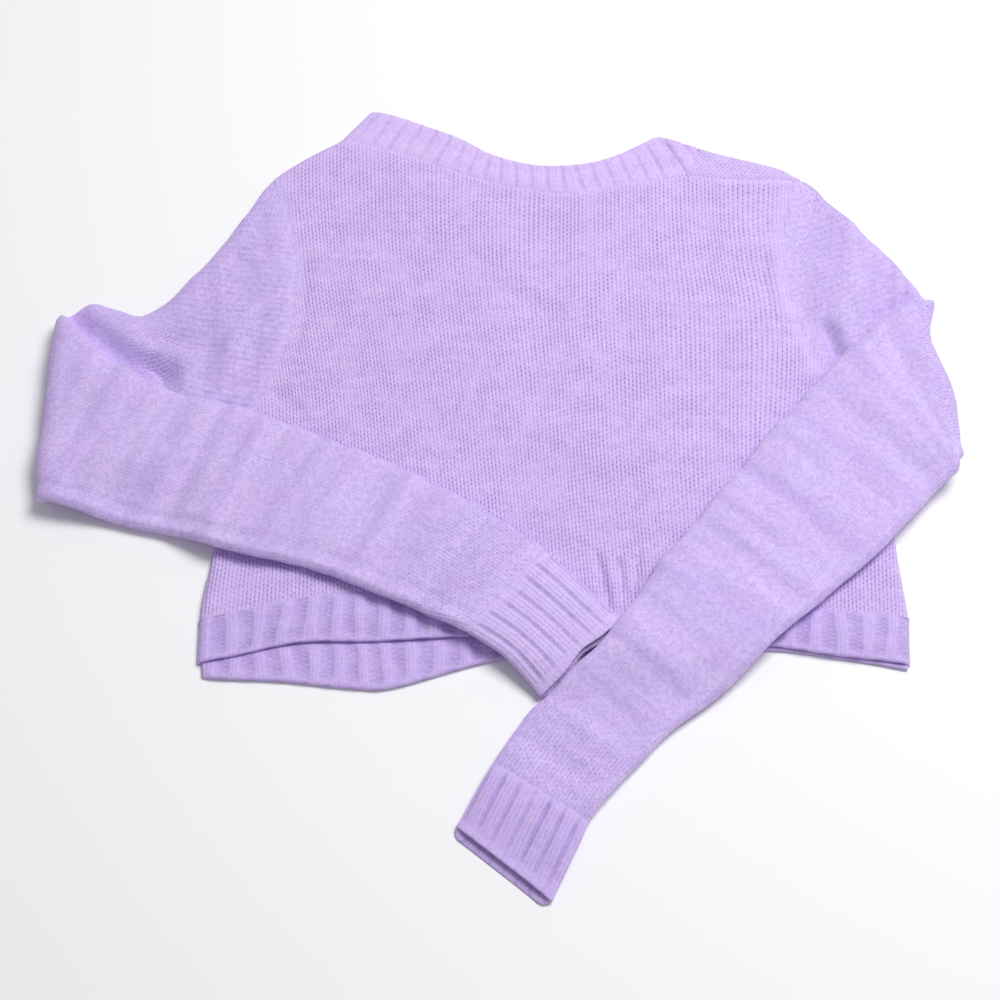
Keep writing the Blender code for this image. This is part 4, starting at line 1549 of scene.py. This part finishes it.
@dataclass
class Band(KnitPiece):
    """A strip of ribbing between a seam and a rim: two layers joined round their edges."""

    ribs: int = 28
    per_rib: int = 12
    courses: float = 10.0
    relief: float = 0.0018
    rim_steps: int = 5
    under: float = 0.0012
    first_rib: float = 0.25
    plain_height: float = 0.75
    rim_fade: float = 0.10
    seam_fade: float = 0.14
    end_fade: float = 0.012

    def seam(self, shares: np.ndarray) -> np.ndarray:
        """The seam's points from above."""
        raise NotImplementedError

    def rim(self, shares: np.ndarray) -> np.ndarray:
        """The rim's points from above."""
        raise NotImplementedError

    def layers(
        self, plan: np.ndarray, across: np.ndarray, along: np.ndarray
    ) -> tuple[np.ndarray, np.ndarray]:
        """The points of the layer that shows, without ribs, and those of the other."""
        raise NotImplementedError

    def folded(self, points: np.ndarray) -> np.ndarray:
        """The finished strip, folded where the cloth folds."""
        return points

    def rib_strength(self, plan: np.ndarray, across: np.ndarray, along: np.ndarray) -> np.ndarray:
        """How strongly the ribs stand up, as a share."""
        return soft_step(across / self.end_fade) * soft_step((1 - across) / self.end_fade)

    def shape(self) -> bpy.types.Mesh:
        """Builds the strip with its ribs and rounded rims.

        Returns:
            The strip's mesh.
        """
        columns, rows = self.ribs * self.per_rib, round(self.courses * 2)
        shares = np.linspace(0, 1, columns + 1)
        across, along = np.meshgrid(shares, np.linspace(0, 1, rows + 1))
        plan = blend(self.rim(shares)[None], self.seam(shares)[None], along[..., None])
        shown, hidden = self.layers(plan, across, along)
        wander = 0.10 * Unevenness(24, 0.05).at(plan)
        counted = across * self.ribs + self.first_rib + wander
        stitches = np.stack((counted, along * self.courses), axis=-1)
        rib = Stitches.rib(stitches[..., 0], stitches[..., 1], self.finish.knit_share)
        fade = soft_step(along / self.rim_fade) * soft_step((1 - along) / self.seam_fade)
        rib = blend(self.plain_height, rib, fade) * self.rib_strength(plan, across, along)
        fuzz = 0.22 + 0.35 * bell((1 - along) / 0.10) + 0.30 * bell(along / 0.08)
        away = unit(shown - hidden)
        shown = shown + away * (rib * self.relief)[..., None]
        down = unit(np.gradient(shown, axis=0))
        rim = rounded(shown[0], hidden[0], -down[0], self.rim_steps)
        seam = rounded(hidden[-1], shown[-1], down[-1], 2)
        points = np.concatenate((rim[::-1], shown, seam[::-1], hidden[::-1], rim[-1:]))
        low = np.repeat(stitches[:1], len(rim), axis=0) - np.array((0.0, 0.3))
        map_rows = np.concatenate((low, stitches, stitches[-1:], stitches[::-1], low[:1]))
        low = np.repeat(fuzz[:1], len(rim), axis=0)
        fuzz_rows = np.concatenate((low, fuzz, fuzz[-1:], fuzz[::-1], fuzz[:1]))
        name = self.node.replace("_rib", "") + "_ribbing"
        mesh = grid_mesh(name, self.folded(points), map_rows, fuzz_rows)
        closed_round(mesh)
        return mesh


def level(rows: np.ndarray, shares: np.ndarray) -> np.ndarray:
    """Points along a smooth line, evenly spaced along X.

    Args:
        rows: the line's table of points.
        shares: of the way from its first x to its last.

    Returns:
        The points.
    """
    points = Path(rows).points
    x = blend(points[0, 0], points[-1, 0], shares)
    return np.stack((x, np.interp(x, points[:, 0], points[:, 1])), axis=-1)


def rolled_down(z: np.ndarray, distance: np.ndarray) -> np.ndarray:
    """Heights rolled down to the table at an edge that far away."""
    turn = np.clip(1 - distance / BODY_HEIGHT, 0, 1)
    return z * np.sqrt(np.maximum(1 - turn**2, 0.0))


@dataclass
class BackHem(Band):
    """The back's hem ribbing, its ends rolled down to the table."""

    span: float = 0.49

    def seam(self, shares: np.ndarray) -> np.ndarray:
        """The seam's points from above, a little under the panel."""
        return level(BACK_HEM, shares) + np.array((0.0, self.under))

    def rim(self, shares: np.ndarray) -> np.ndarray:
        """The rim's points from above."""
        return level(BACK_HEM_RIM, shares)

    def layers(
        self, plan: np.ndarray, across: np.ndarray, along: np.ndarray
    ) -> tuple[np.ndarray, np.ndarray]:
        """The two layers, softly waved, lower at the rim and rolled down at both ends.

        Args:
            plan: its places from above.
            across: shares from one end of the strip to the other.
            along: shares from its rim to its seam.

        Returns:
            The points of the upper layer, without ribs, and those of the lower.
        """
        inner = np.minimum(across, 1 - across)
        wave = 0.0006 * Unevenness(21, 0.07).at(plan) * soft_step(inner / 0.05)
        top = BODY_HEIGHT - self.relief * self.plain_height + wave
        top = top - 0.0008 * bell((1 - along) / 0.06) - 0.0010 * bell(along / 0.25)
        distance = inner * self.span
        upper = raised(plan, rolled_down(top, distance))
        lower = raised(plan, rolled_down(np.minimum(top - 0.0018, 0.0046), distance))
        lower[..., 0] += 0.002 * (bell(across / 0.01) - bell((1 - across) / 0.01))
        return upper, lower


@dataclass
class FrontHem(Band):
    """The front's hem ribbing. Its inside shows past the back's."""

    def seam(self, shares: np.ndarray) -> np.ndarray:
        """The seam's points from above, a little under the panel."""
        return level(FRONT_HEM, shares) + np.array((0.0, self.under))

    def rim(self, shares: np.ndarray) -> np.ndarray:
        """The rim's points from above."""
        return level(FRONT_HEM_RIM, shares) + np.array((0.0010, 0.0)) * (1 - 2 * shares)[:, None]

    def rib_strength(
        self, plan: np.ndarray, across: np.ndarray, along: np.ndarray
    ) -> np.ndarray:
        """How strongly the ribs stand up: not at all under the back's ribbing.

        Args:
            plan: its places from above.
            across: shares from one end of the strip to the other.
            along: shares from its rim to its seam.

        Returns:
            The share at each place.
        """
        cover = Path(BACK_HEM_RIM).at(across[0])[:, 1]
        clear = cover[None] - 0.001 - plan[..., 1]
        return super().rib_strength(plan, across, along) * soft_step(clear / 0.005)

    def layers(
        self, plan: np.ndarray, across: np.ndarray, along: np.ndarray
    ) -> tuple[np.ndarray, np.ndarray]:
        """The two layers, flat on the table."""
        return raised(plan, WALL - 0.0010), raised(plan, 0.0)


@dataclass
class BackNeckband(Band):
    """The back of the neckband, its left end rolled down to the table at the shoulder."""

    span: float = 0.29

    def seam(self, shares: np.ndarray) -> np.ndarray:
        """The seam's points from above, a little under the panel."""
        neck = Path(BACK_NECK)
        return neck.at(shares) - self.under * neck.left_of(shares) + self.tucked(shares)

    def rim(self, shares: np.ndarray) -> np.ndarray:
        """The rim's points from above."""
        return Path(BACK_NECK_RIM).at(shares) + self.tucked(shares)

    @staticmethod
    def tucked(shares: np.ndarray) -> np.ndarray:
        """How far the right end runs on, under the front's folded end."""
        return np.array((0.0020, -0.0004)) * soft_step((shares - 0.97) / 0.03)[:, None]

    def rib_strength(
        self, plan: np.ndarray, across: np.ndarray, along: np.ndarray
    ) -> np.ndarray:
        """How strongly the ribs stand up, as a share."""
        return soft_step((across - 0.02) / 0.02) * np.ones_like(across)

    def layers(
        self, plan: np.ndarray, across: np.ndarray, along: np.ndarray
    ) -> tuple[np.ndarray, np.ndarray]:
        """The two layers, softly waved, rolled down at the left end and lower at the right.

        Args:
            plan: its places from above.
            across: shares from one end of the strip to the other.
            along: shares from its rim to its seam.

        Returns:
            The points of the upper layer, without ribs, and those of the lower.
        """
        wave = 0.0005 * Unevenness(22, 0.06).at(plan)
        top = BODY_HEIGHT - self.relief * self.plain_height + wave
        top = top - 0.0008 * bell((1 - along) / 0.12)
        top = top - 0.0010 * soft_step((across - 0.975) / 0.025)
        distance = across * self.span
        upper = raised(plan, rolled_down(top, distance))
        lower = raised(plan, rolled_down(top - WALL + 0.001, distance))
        lower[..., 0] += 0.002 * bell(across / 0.012)
        return upper, lower


@dataclass
class FrontNeckband(Band):
    """The front of the neckband, under the back, its right end folded over at the shoulder."""

    def seam(self, shares: np.ndarray) -> np.ndarray:
        """The seam's points from above, a little under the panel."""
        neck = front_neck_line()
        return neck.at(shares) - self.under * neck.left_of(shares)

    def rim(self, shares: np.ndarray) -> np.ndarray:
        """The rim's points from above."""
        end = SHOULDER_FOLD.unfolded(BACK_NECK_RIM[-1:] + np.array((0.001, -0.002)))
        return Path(np.concatenate((FRONT_NECK_RIM[:-1], end))).at(shares)

    def layers(
        self, plan: np.ndarray, across: np.ndarray, along: np.ndarray
    ) -> tuple[np.ndarray, np.ndarray]:
        """The two layers; the outer one, which shows where it is folded over, lies below."""
        return raised(plan, 0.0009 * bell((1 - along) / 0.12)), raised(plan, WALL)

    def rib_strength(
        self, plan: np.ndarray, across: np.ndarray, along: np.ndarray
    ) -> np.ndarray:
        """How strongly the ribs stand up, as a share: only where the end shows."""
        return 0.45 * soft_step((across - 0.88) / 0.04)

    def folded(self, points: np.ndarray) -> np.ndarray:
        """Folds the right end over the shoulder and sinks its tip to the back's.

        Args:
            points: the strip before the fold.

        Returns:
            The points as it lies.
        """
        points = SHOULDER_FOLD.folded(points)[0]
        share = np.linspace(0, 1, points.shape[1])
        points[..., 2] -= 0.0024 * soft_step((share - 0.992) / 0.008)
        points[..., 2] = np.maximum(points[..., 2], 0.0)
        return points


# ----------------------------------------------------------------------------------- the sleeves


@dataclass
class Tube(KnitPiece):
    """A flattened tube of cloth through cross sections, folded back at the elbow."""

    arm: ArmSections = LEFT_ARM
    around: int = 240
    row_step: float = 0.0024
    seam_shift: float = 0.0
    upper_creases: tuple[Crease, ...] = ()
    forearm_creases: tuple[Crease, ...] = ()
    bulge: tuple[tuple[float, float, float, float], ...] = ()

    def sections(self) -> np.ndarray:
        """The cross sections before the fold."""
        raise NotImplementedError

    def rows(self) -> tuple[np.ndarray, np.ndarray]:
        """Spaces the cross sections evenly along the tube.

        Returns:
            The cross sections, and how far along the tube each lies.
        """
        table = self.sections()
        shares = np.linspace(0, 1, 600)
        steps = np.linalg.norm(np.diff(spline(table, shares)[:, :2], axis=0), axis=1)
        reach = np.concatenate(((0.0,), np.cumsum(steps)))
        count = round(reach[-1] / self.row_step)
        along = np.linspace(0, reach[-1], count + 1)
        return spline(table, np.interp(along, reach, shares)), along

    @staticmethod
    def ring(width: float, height: float, inset: float, count: int, start: float) -> np.ndarray:
        """Evenly spaced points round a flattened tube.

        Args:
            width: of the flattened tube.
            height: of it.
            inset: how far within its outer face the points lie.
            count: steps round it.
            start: how far from the underarm edge the first point lies, on the underside.

        Returns:
            Rows of (across, up, reach round it from the top edge).
        """
        angle = np.linspace(-math.pi / 2, math.pi / 2, 300)
        a, b = width / 2 - inset, height / 2 - inset
        x = a * np.sin(angle)
        share = np.abs(x / a)
        rise = b * np.sqrt(np.maximum(1 - share**6, 0))
        low = np.column_stack((x, height / 2 - rise))
        high = np.column_stack((x, height / 2 + rise))
        line = np.concatenate((low, high[::-1][1:]))
        steps = np.linalg.norm(np.diff(line, axis=0), axis=1)
        reach = np.concatenate(((0.0,), np.cumsum(steps)))
        wanted = start + np.linspace(0, reach[-1], count + 1)
        line = np.stack([np.interp(wanted % reach[-1], reach, part) for part in line.T], axis=-1)
        return np.column_stack((line, wanted - reach[-1] / 2))

    def layer(
        self, sections: np.ndarray, along: np.ndarray, inset: float, from_armhole: bool
    ) -> tuple[np.ndarray, np.ndarray, np.ndarray]:
        """One layer of the tube before the fold.

        Args:
            sections: its cross sections.
            along: how far along the tube each lies.
            inset: how far within the outer face the layer lies.
            from_armhole: whether it swells from the flat body and bows like the armhole.

        Returns:
            The points, the reach round the tube from its top edge, and the share up.
        """
        swell = soft_step(along / HEIGHT_EASE) if from_armhole else np.ones_like(along)
        heights = blend(BODY_HEIGHT, SLEEVE_HEIGHT, swell)
        sizes = zip(sections[:, 3], heights)
        rings = [self.ring(w, h, inset, self.around, self.seam_shift) for w, h in sizes]
        rings = np.stack(rings)
        across = 2 * rings[..., 0] / sections[:, None, 3]
        spread = np.broadcast_to(sections[:, None], (*across.shape, 4))
        ease = np.maximum(0.0, 1 - along / ARMHOLE_EASE) ** 2 * from_armhole
        plan = self.arm.on_section(spread, across, ease[:, None] * self.arm.armhole_bow)
        return raised(plan, rings[..., 1]), rings[..., 2], rings[..., 1] / heights[:, None]

    def folded(
        self, points: np.ndarray, up: np.ndarray, creased: np.ndarray | float = 1.0
    ) -> np.ndarray:
        """Folds the tube at the elbow, settles it on what it lies on, and creases it.

        Args:
            points: the tube before the fold.
            up: the share up the tube at each point.
            creased: how much of the upper creases each point takes, as a share.

        Returns:
            The points as the tube lies.
        """
        points, beyond = self.arm.elbow.folded(points)
        drop = (SLEEVE_HEIGHT + FOLD_GAP - self.arm.lift(points)) * soft_step(beyond / FOLD_EASE)
        points[..., 2] -= drop
        over = soft_step(beyond / 0.02 - 0.4)
        for creases, shown in (
            (self.upper_creases, soft_step((up - 0.35) / 0.4) * (1 - over) * creased),
            (self.forearm_creases, soft_step((0.65 - up) / 0.4) * over),
        ):
            for crease in creases:
                points[..., 2] += crease.at(points) * shown
        return points


@dataclass
class Sleeve(Tube):
    """A sleeve from its armhole seam to its cuff's seam."""

    upper_fuzz: float = 0.10
    forearm_fuzz: float = 0.90
    fuzz_lead: float = 0.0
    start_reach: float = 0.008
    start_blend: float = 0.006
    crease_start: float = 0.014
    body_overlap: float = 0.0024
    cuff_overlap: float = 0.0018
    band_height: float = 0.0008
    band_size: float = 0.020
    swell_height: float = 0.0012
    swell_size: float = 0.07
    ridge_height: float = 0.0011
    ridge_width: float = 0.0032
    shoulder: np.ndarray | None = None

    def sections(self) -> np.ndarray:
        """The upper arm's cross sections, and the forearm's before the fold."""
        return np.concatenate((self.arm.upper, self.arm.before_fold(self.arm.forearm)))

    def relief(self, along: np.ndarray, reach: np.ndarray) -> np.ndarray:
        """How far the cloth stands out: soft bands, the underarm's ridge and drawn-in ends.

        Args:
            along: how far along the sleeve each row lies.
            reach: how far round it each point lies.

        Returns:
            The distance at each point.
        """
        run = np.stack((reach, np.broadcast_to(along[:, None], reach.shape)), axis=-1)
        seed = 31 + self.arm.side
        left = along[-1] - along
        swell = soft_step(along / 0.02)[:, None] * soft_step(left / 0.01)[:, None]
        seam = np.minimum(reach - reach[:, :1], reach[:, -1:] - reach)
        bands = self.band_height * Unevenness(seed, self.band_size, 5.0).at(run)
        bands = bands + self.swell_height * Unevenness(seed + 5, self.swell_size).at(run)
        ridge = self.ridge_height * bell(seam / self.ridge_width)
        ridge = ridge - 0.0009 * bell((seam - 0.0090) / 0.0042)
        ends = -0.0007 * bell(along / 0.0018)[:, None] - 0.0008 * bell(left / 0.0018)[:, None]
        return (bands * soft_step(seam / 0.02) + ridge) * swell + ends

    def meet_body(self, points: np.ndarray, along: np.ndarray, up: np.ndarray) -> None:
        """Starts the upper side at the height of the body's edge, its creases and its roll.

        Args:
            points: the sleeve before the fold, which it moves.
            along: how far along the sleeve each row lies.
            up: the share up the sleeve at each point.
        """
        start = along < self.start_reach
        creases = sum(crease.at(points[start]) for crease in BACK_CREASES)
        body = BODY_HEIGHT - SEAM_GAP + creases
        if self.shoulder is not None:
            gap = nearest_on(self.shoulder, points[start, :, :2].reshape(-1, 2))[0]
            body = rolled_down(body, gap.reshape(body.shape))
        kept = np.maximum(soft_step(along[start] / self.start_blend)[:, None], up[start] < 0.5)
        points[start, :, 2] = blend(body, points[start, :, 2], kept)

    def fuzz(self, points: np.ndarray, along: np.ndarray) -> np.ndarray:
        """How far the nap hides the stitches: most on the forearm, and at both seams.

        Args:
            points: the sleeve before the fold.
            along: how far along the sleeve each row lies.

        Returns:
            The share at each point.
        """
        left = along[-1] - along
        beyond = self.arm.elbow.inside(points) + self.fuzz_lead
        fuzz = blend(self.upper_fuzz, self.forearm_fuzz, soft_step(beyond / 0.05))
        fuzz = fuzz * (1 - 0.45 * soft_step((0.09 - left) / 0.05)[:, None])
        seams = np.maximum(0.8 * bell(along / 0.008), 0.65 * bell(left / 0.007))
        return np.maximum(fuzz, seams[:, None])

    def shape(self) -> bpy.types.Mesh:
        """Builds the sleeve's outer face, with its soft bands and unevenness.

        Returns:
            The sleeve's mesh.
        """
        sections, along = self.rows()
        points, reach, up = self.layer(sections, along, 0.0, from_armhole=True)
        courses = np.broadcast_to(along[:, None] / GAUGE.course, reach.shape)
        stitches = np.stack((reach / GAUGE.wale, courses), axis=-1)
        normals = self.arm.side * normals_of(points, around=True)
        points += normals * self.relief(along, reach)[..., None]
        self.meet_body(points, along, up)
        into_cuff = self.cuff_overlap * bell((along[-1] - along) / 0.004)
        reached = into_cuff - self.body_overlap * bell(along / 0.006)
        points[..., :2] += (self.arm.outward(sections) * reached[:, None])[:, None]
        points = nudged(points, np.array(self.bulge), BULGE_REACH)
        fuzz = self.fuzz(points, along)
        points = self.folded(points, up, soft_step(along / self.crease_start)[:, None])
        points[..., 2] = np.maximum(points[..., 2], 0.0)
        mesh = grid_mesh(self.node + "_cloth", points, stitches, fuzz)
        closed_round(mesh, capped=False)
        return mesh


@dataclass
class Cuff(Tube):
    """A ribbed cuff: an outer and an inner layer joined at the rim and at the seam."""

    ribs: int = 14
    first_rib: float = 0.25
    relief: float = 0.0020
    around: int = 168
    row_step: float = 0.0019
    lining: float = WALL * 0.8
    rim_steps: int = 5
    low_rim: float = 0.0
    squash: float = 0.30

    def sections(self) -> np.ndarray:
        """The cuff's cross sections before the fold."""
        return self.arm.before_fold(self.arm.cuff)

    def fade(self, share: np.ndarray, along: np.ndarray) -> np.ndarray:
        """How strongly the ribs stand up: from an uneven start at the seam, not at the rim.

        Args:
            share: how far round the cuff each column lies.
            along: how far along it each row lies.

        Returns:
            The share at each point.
        """
        turn = share * 2 * math.pi
        circle = 0.012 * np.stack((np.cos(turn), np.sin(turn)), axis=-1)
        uneven = Unevenness(45 + self.arm.side, 0.011).at(circle)
        start = 0.0045 + 0.0035 * uneven
        rim = soft_step((along[-1] - along - 0.003) / 0.007)[:, None]
        return soft_step((along[:, None] - start) / 0.008) * rim * (0.75 - 0.30 * uneven)

    def shape(self) -> bpy.types.Mesh:
        """Builds the cuff with ribs all round.

        Returns:
            The cuff's mesh.
        """
        sections, along = self.rows()
        outer, _reach, up = self.layer(sections, along, 0.0, from_armhole=False)
        inner, _reach, inner_up = self.layer(sections, along, self.lining, from_armhole=False)
        share = np.linspace(0, 1, self.around + 1)
        stitches = np.meshgrid(share * self.ribs + self.first_rib, along / GAUGE.course)
        stitches = np.stack(stitches, axis=-1)
        rib = Stitches.rib(stitches[..., 0], stitches[..., 1], self.finish.knit_share) - 0.85
        fade = self.fade(share, along)
        left = along[-1] - along
        edges = 0.0007 * bell(left / 0.003)[:, None] - 0.0006 * bell(along / 0.003)[:, None]
        normals = self.arm.side * normals_of(outer, around=True)
        outer = outer + normals * (rib * self.relief * fade + edges)[..., None]
        for layer, ups in ((outer, up), (inner, inner_up)):
            low = soft_step((ups - 0.5) / 0.4) * soft_step((0.025 - left) / 0.025)[:, None]
            layer[..., :2] += (self.arm.outward(sections) * self.low_rim)[:, None] * low[..., None]
        way = unit(np.gradient(outer, axis=0))[-1]
        rim = rounded(outer[-1], inner[-1], way, self.rim_steps)
        points = np.concatenate((outer, rim, inner[::-1], outer[:1]))
        ups = np.concatenate((up, np.repeat(up[-1:], len(rim), 0), inner_up[::-1], up[:1]))
        beyond = np.repeat(stitches[-1:], len(rim), 0) + np.array((0.0, 0.3))
        map_rows = np.concatenate((stitches, beyond, stitches[::-1], stitches[:1]))
        run = np.concatenate((along, np.full(len(rim), along[-1]), along[::-1], along[:1]))
        points = self.folded(points, ups)
        rest = self.arm.lift(points)
        flatter = 1 - self.squash * soft_step((run / along[-1] - 0.3) / 0.7)
        points[..., 2] = rest + (points[..., 2] - rest) * flatter[:, None]
        points[..., 2] = np.maximum(points[..., 2], 0.0)
        points = nudged(points, np.array(self.bulge), BULGE_REACH)
        fuzz = 0.75 * (1 - soft_step(fade / 0.6))
        hidden = np.full(rim.shape[:2], 0.3), np.full(fuzz.shape, 0.2)
        fuzz = np.concatenate((fuzz, *hidden, fuzz[:1]))
        mesh = grid_mesh(self.node + "_ribbing", points, map_rows, fuzz)
        closed_round(mesh)
        return mesh


# ------------------------------------------------------------------------------------ the studio


@dataclass
class Studio:
    """A plain pale floor, one soft light above it, an evenly lit room, and the camera."""

    floor_size: float = 14.0
    floor_drop: float = 0.0004
    floor_colour: Colour = (0.97, 0.97, 0.98, 1.0)
    light_place: tuple[float, float, float] = (0.9, 0.6, 2.1)
    light_size: float = 1.2
    light_power: float = 45.5
    room_colour: Colour = (0.97, 0.98, 1.0, 1.0)
    room_strength: float = 0.34
    elevation: float = 60.0
    distance: float = 1.6
    lens: float = 80.0
    target: tuple[float, float, float] = (-0.0023, -0.0208, 0.0)

    def add_floor(self) -> None:
        """Adds the floor that the sweater lies on."""
        work = bmesh.new()
        bmesh.ops.create_grid(work, x_segments=1, y_segments=1, size=self.floor_size / 2)
        mesh = bpy.data.meshes.new("floor")
        work.to_mesh(mesh)
        work.free()
        material = bpy.data.materials.new("pale_floor")
        material.use_nodes = True
        shader = material.node_tree.nodes["Principled BSDF"]
        shader.inputs["Base Color"].default_value = self.floor_colour
        shader.inputs["Roughness"].default_value = 0.85
        shader.inputs["Specular IOR Level"].default_value = 0.1
        mesh.materials.append(material)
        floor = bpy.data.objects.new("floor", mesh)
        floor.location.z = -self.floor_drop
        bpy.context.scene.collection.objects.link(floor)

    def add_light(self) -> None:
        """Adds a soft square light that shines on the sweater."""
        data = bpy.data.lights.new("key", "AREA")
        data.size = self.light_size
        data.energy = self.light_power
        light = bpy.data.objects.new("key", data)
        light.location = self.light_place
        aim = -light.location.normalized()
        light.rotation_euler = aim.to_track_quat("-Z", "Y").to_euler()
        bpy.context.scene.collection.objects.link(light)

    def add_room(self) -> None:
        """Adds even light from all round."""
        world = bpy.data.worlds.new("soft_room")
        world.use_nodes = True
        sky = world.node_tree.nodes["Background"]
        sky.inputs["Color"].default_value = self.room_colour
        sky.inputs["Strength"].default_value = self.room_strength
        bpy.context.scene.world = world

    def add_camera(self) -> None:
        """Adds the camera and makes it the scene's."""
        data = bpy.data.cameras.new("camera")
        data.lens = self.lens
        camera = bpy.data.objects.new("camera", data)
        angle = math.radians(self.elevation)
        x, y, z = self.target
        back, up = self.distance * math.cos(angle), self.distance * math.sin(angle)
        camera.location = (x, y - back, z + up)
        camera.rotation_euler = (math.radians(90 - self.elevation), 0, 0)
        bpy.context.scene.collection.objects.link(camera)
        bpy.context.scene.camera = camera

    def add(self) -> None:
        """Adds all of the studio."""
        self.add_floor()
        self.add_light()
        self.add_room()
        self.add_camera()
        bpy.context.scene.view_settings.view_transform = "Standard"


LEFT_UPPER_CREASES = (
    Crease(
        (
            (-0.3300, 0.1310),
            (-0.3080, 0.1150),
            (-0.2760, 0.0920),
            (-0.2500, 0.0770),
            (-0.2330, 0.0680),
        ),
        -0.0100,
        0.0120,
        0.2,
    ),
    Crease(
        ((-0.2719, 0.1249), (-0.2553, 0.1132), (-0.2288, 0.1069), (-0.2024, 0.1015)),
        -0.0026,
        0.0080,
    ),
    Crease(((-0.2800, 0.1130), (-0.2560, 0.1000), (-0.2250, 0.0930)), 0.0014, 0.0060),
)
LEFT_FOREARM_CREASES = (
    Crease(
        (
            (-0.3058, 0.1180),
            (-0.2820, 0.1030),
            (-0.2587, 0.0870),
            (-0.2203, 0.0630),
            (-0.1900, 0.0460),
        ),
        0.0024,
        0.0060,
        0.3,
    ),
    Crease(((-0.3100, 0.0900), (-0.2900, 0.0500), (-0.2800, 0.0100)), 0.0008, 0.0120),
    Crease(((-0.2500, 0.0500), (-0.2350, 0.0100), (-0.2300, -0.0300)), -0.0009, 0.0090),
    Crease(((-0.1500, 0.0000), (-0.1450, -0.0350), (-0.1550, -0.0700)), -0.0008, 0.0080),
)
RIGHT_UPPER_CREASES = (
    Crease(
        ((0.2790, 0.1230), (0.2880, 0.1310), (0.3050, 0.1430), (0.3270, 0.1500)),
        -0.0060,
        0.0075,
        0.3,
    ),
    Crease(((0.2400, 0.1330), (0.2460, 0.1120), (0.2510, 0.0880)), -0.0062, 0.0065, 0.3),
    Crease(((0.2550, 0.1330), (0.2590, 0.1150), (0.2630, 0.0950)), 0.0012, 0.0060, 0.3),
)
RIGHT_FOREARM_CREASES = (
    Crease(
        ((0.2600, 0.0920), (0.2740, 0.1030), (0.2980, 0.1220), (0.3200, 0.1360)),
        0.0022,
        0.0060,
        0.3,
    ),
    Crease(((0.2550, 0.0600), (0.2800, 0.0300), (0.3000, 0.0100)), -0.0008, 0.0090),
    Crease(((0.1700, -0.0500), (0.1950, -0.0750), (0.2200, -0.1000)), -0.0008, 0.0080),
)


def sweater() -> tuple[KnitPiece, ...]:
    """Lays out every knitted piece of the sweater.

    Returns:
        The pieces in the order in which they are built, the body from the table up first.
    """
    laid, folded = Held.LAID, Held.FOLDED
    floor, over_back = ("floor",), ("floor", "back_panel")
    return (
        FrontPanel("front_panel", PLAIN_FINISH, Cloth((0.485, 0.43), 0.149, laid, floor)),
        FrontHem("front_hem_rib", HEM_FINISH, Cloth((0.485, 0.040), 0.0185, laid, floor)),
        FrontNeckband(
            "front_neckband",
            BAND_FINISH,
            Cloth((0.43, 0.027), 0.0107, folded, floor),
            ribs=30,
            courses=7,
        ),
        BackPanel("back_panel", PLAIN_FINISH, Cloth((0.49, 0.42), 0.160, laid, ("front_panel",))),
        BackHem(
            "back_hem_rib", HEM_FINISH, Cloth((0.493, 0.036), 0.0175, laid, ("front_hem_rib",))
        ),
        BackNeckband(
            "back_neckband",
            BAND_FINISH,
            Cloth((0.30, 0.025), 0.0070, laid, ("front_panel",)),
            ribs=21,
            courses=7,
            relief=0.0008,
        ),
        Sleeve(
            "left_sleeve",
            SLEEVE_FINISH,
            Cloth((0.447, 0.63), 0.132, folded, over_back),
            arm=LEFT_ARM,
            seam_shift=0.0065,
            upper_creases=LEFT_UPPER_CREASES,
            forearm_creases=LEFT_FOREARM_CREASES,
            bulge=((-0.308, 0.136, 0.0, 0.0085), (-0.271, 0.132, 0.0, -0.0085)),
            fuzz_lead=0.085,
            shoulder=LEFT_SHOULDER,
        ),
        Cuff(
            "left_cuff",
            LEFT_CUFF_FINISH,
            Cloth((0.170, 0.075), 0.0124, laid, ("back_hem_rib",)),
            arm=LEFT_ARM,
            bulge=((0.066, -0.160, -0.0050, 0.0045),),
            relief=0.0012,
            low_rim=0.002,
        ),
        Sleeve(
            "right_sleeve",
            SLEEVE_FINISH,
            Cloth((0.425, 0.63), 0.124, folded, over_back),
            arm=RIGHT_ARM,
            seam_shift=0.0070,
            upper_creases=RIGHT_UPPER_CREASES,
            forearm_creases=RIGHT_FOREARM_CREASES,
            bulge=((0.233, 0.261, 0.0020, 0.0045), (0.248, 0.253, 0.0045, 0.0050)),
            upper_fuzz=0.45,
        ),
        Cuff(
            "right_cuff",
            CUFF_FINISH,
            Cloth((0.160, 0.060), 0.0093, laid, floor),
            arm=RIGHT_ARM,
            relief=0.0024,
            low_rim=0.0060,
            squash=0.42,
        ),
    )


def main() -> None:
    """Builds the sweater and its studio; each piece logs how many faces it has."""
    logging.basicConfig(level=logging.INFO, format="%(name)s: %(message)s")
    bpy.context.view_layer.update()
    groups = KnitGroups()
    for piece in sweater():
        piece.add(groups)
    Studio().add()


if __name__ == "__main__":
    main()
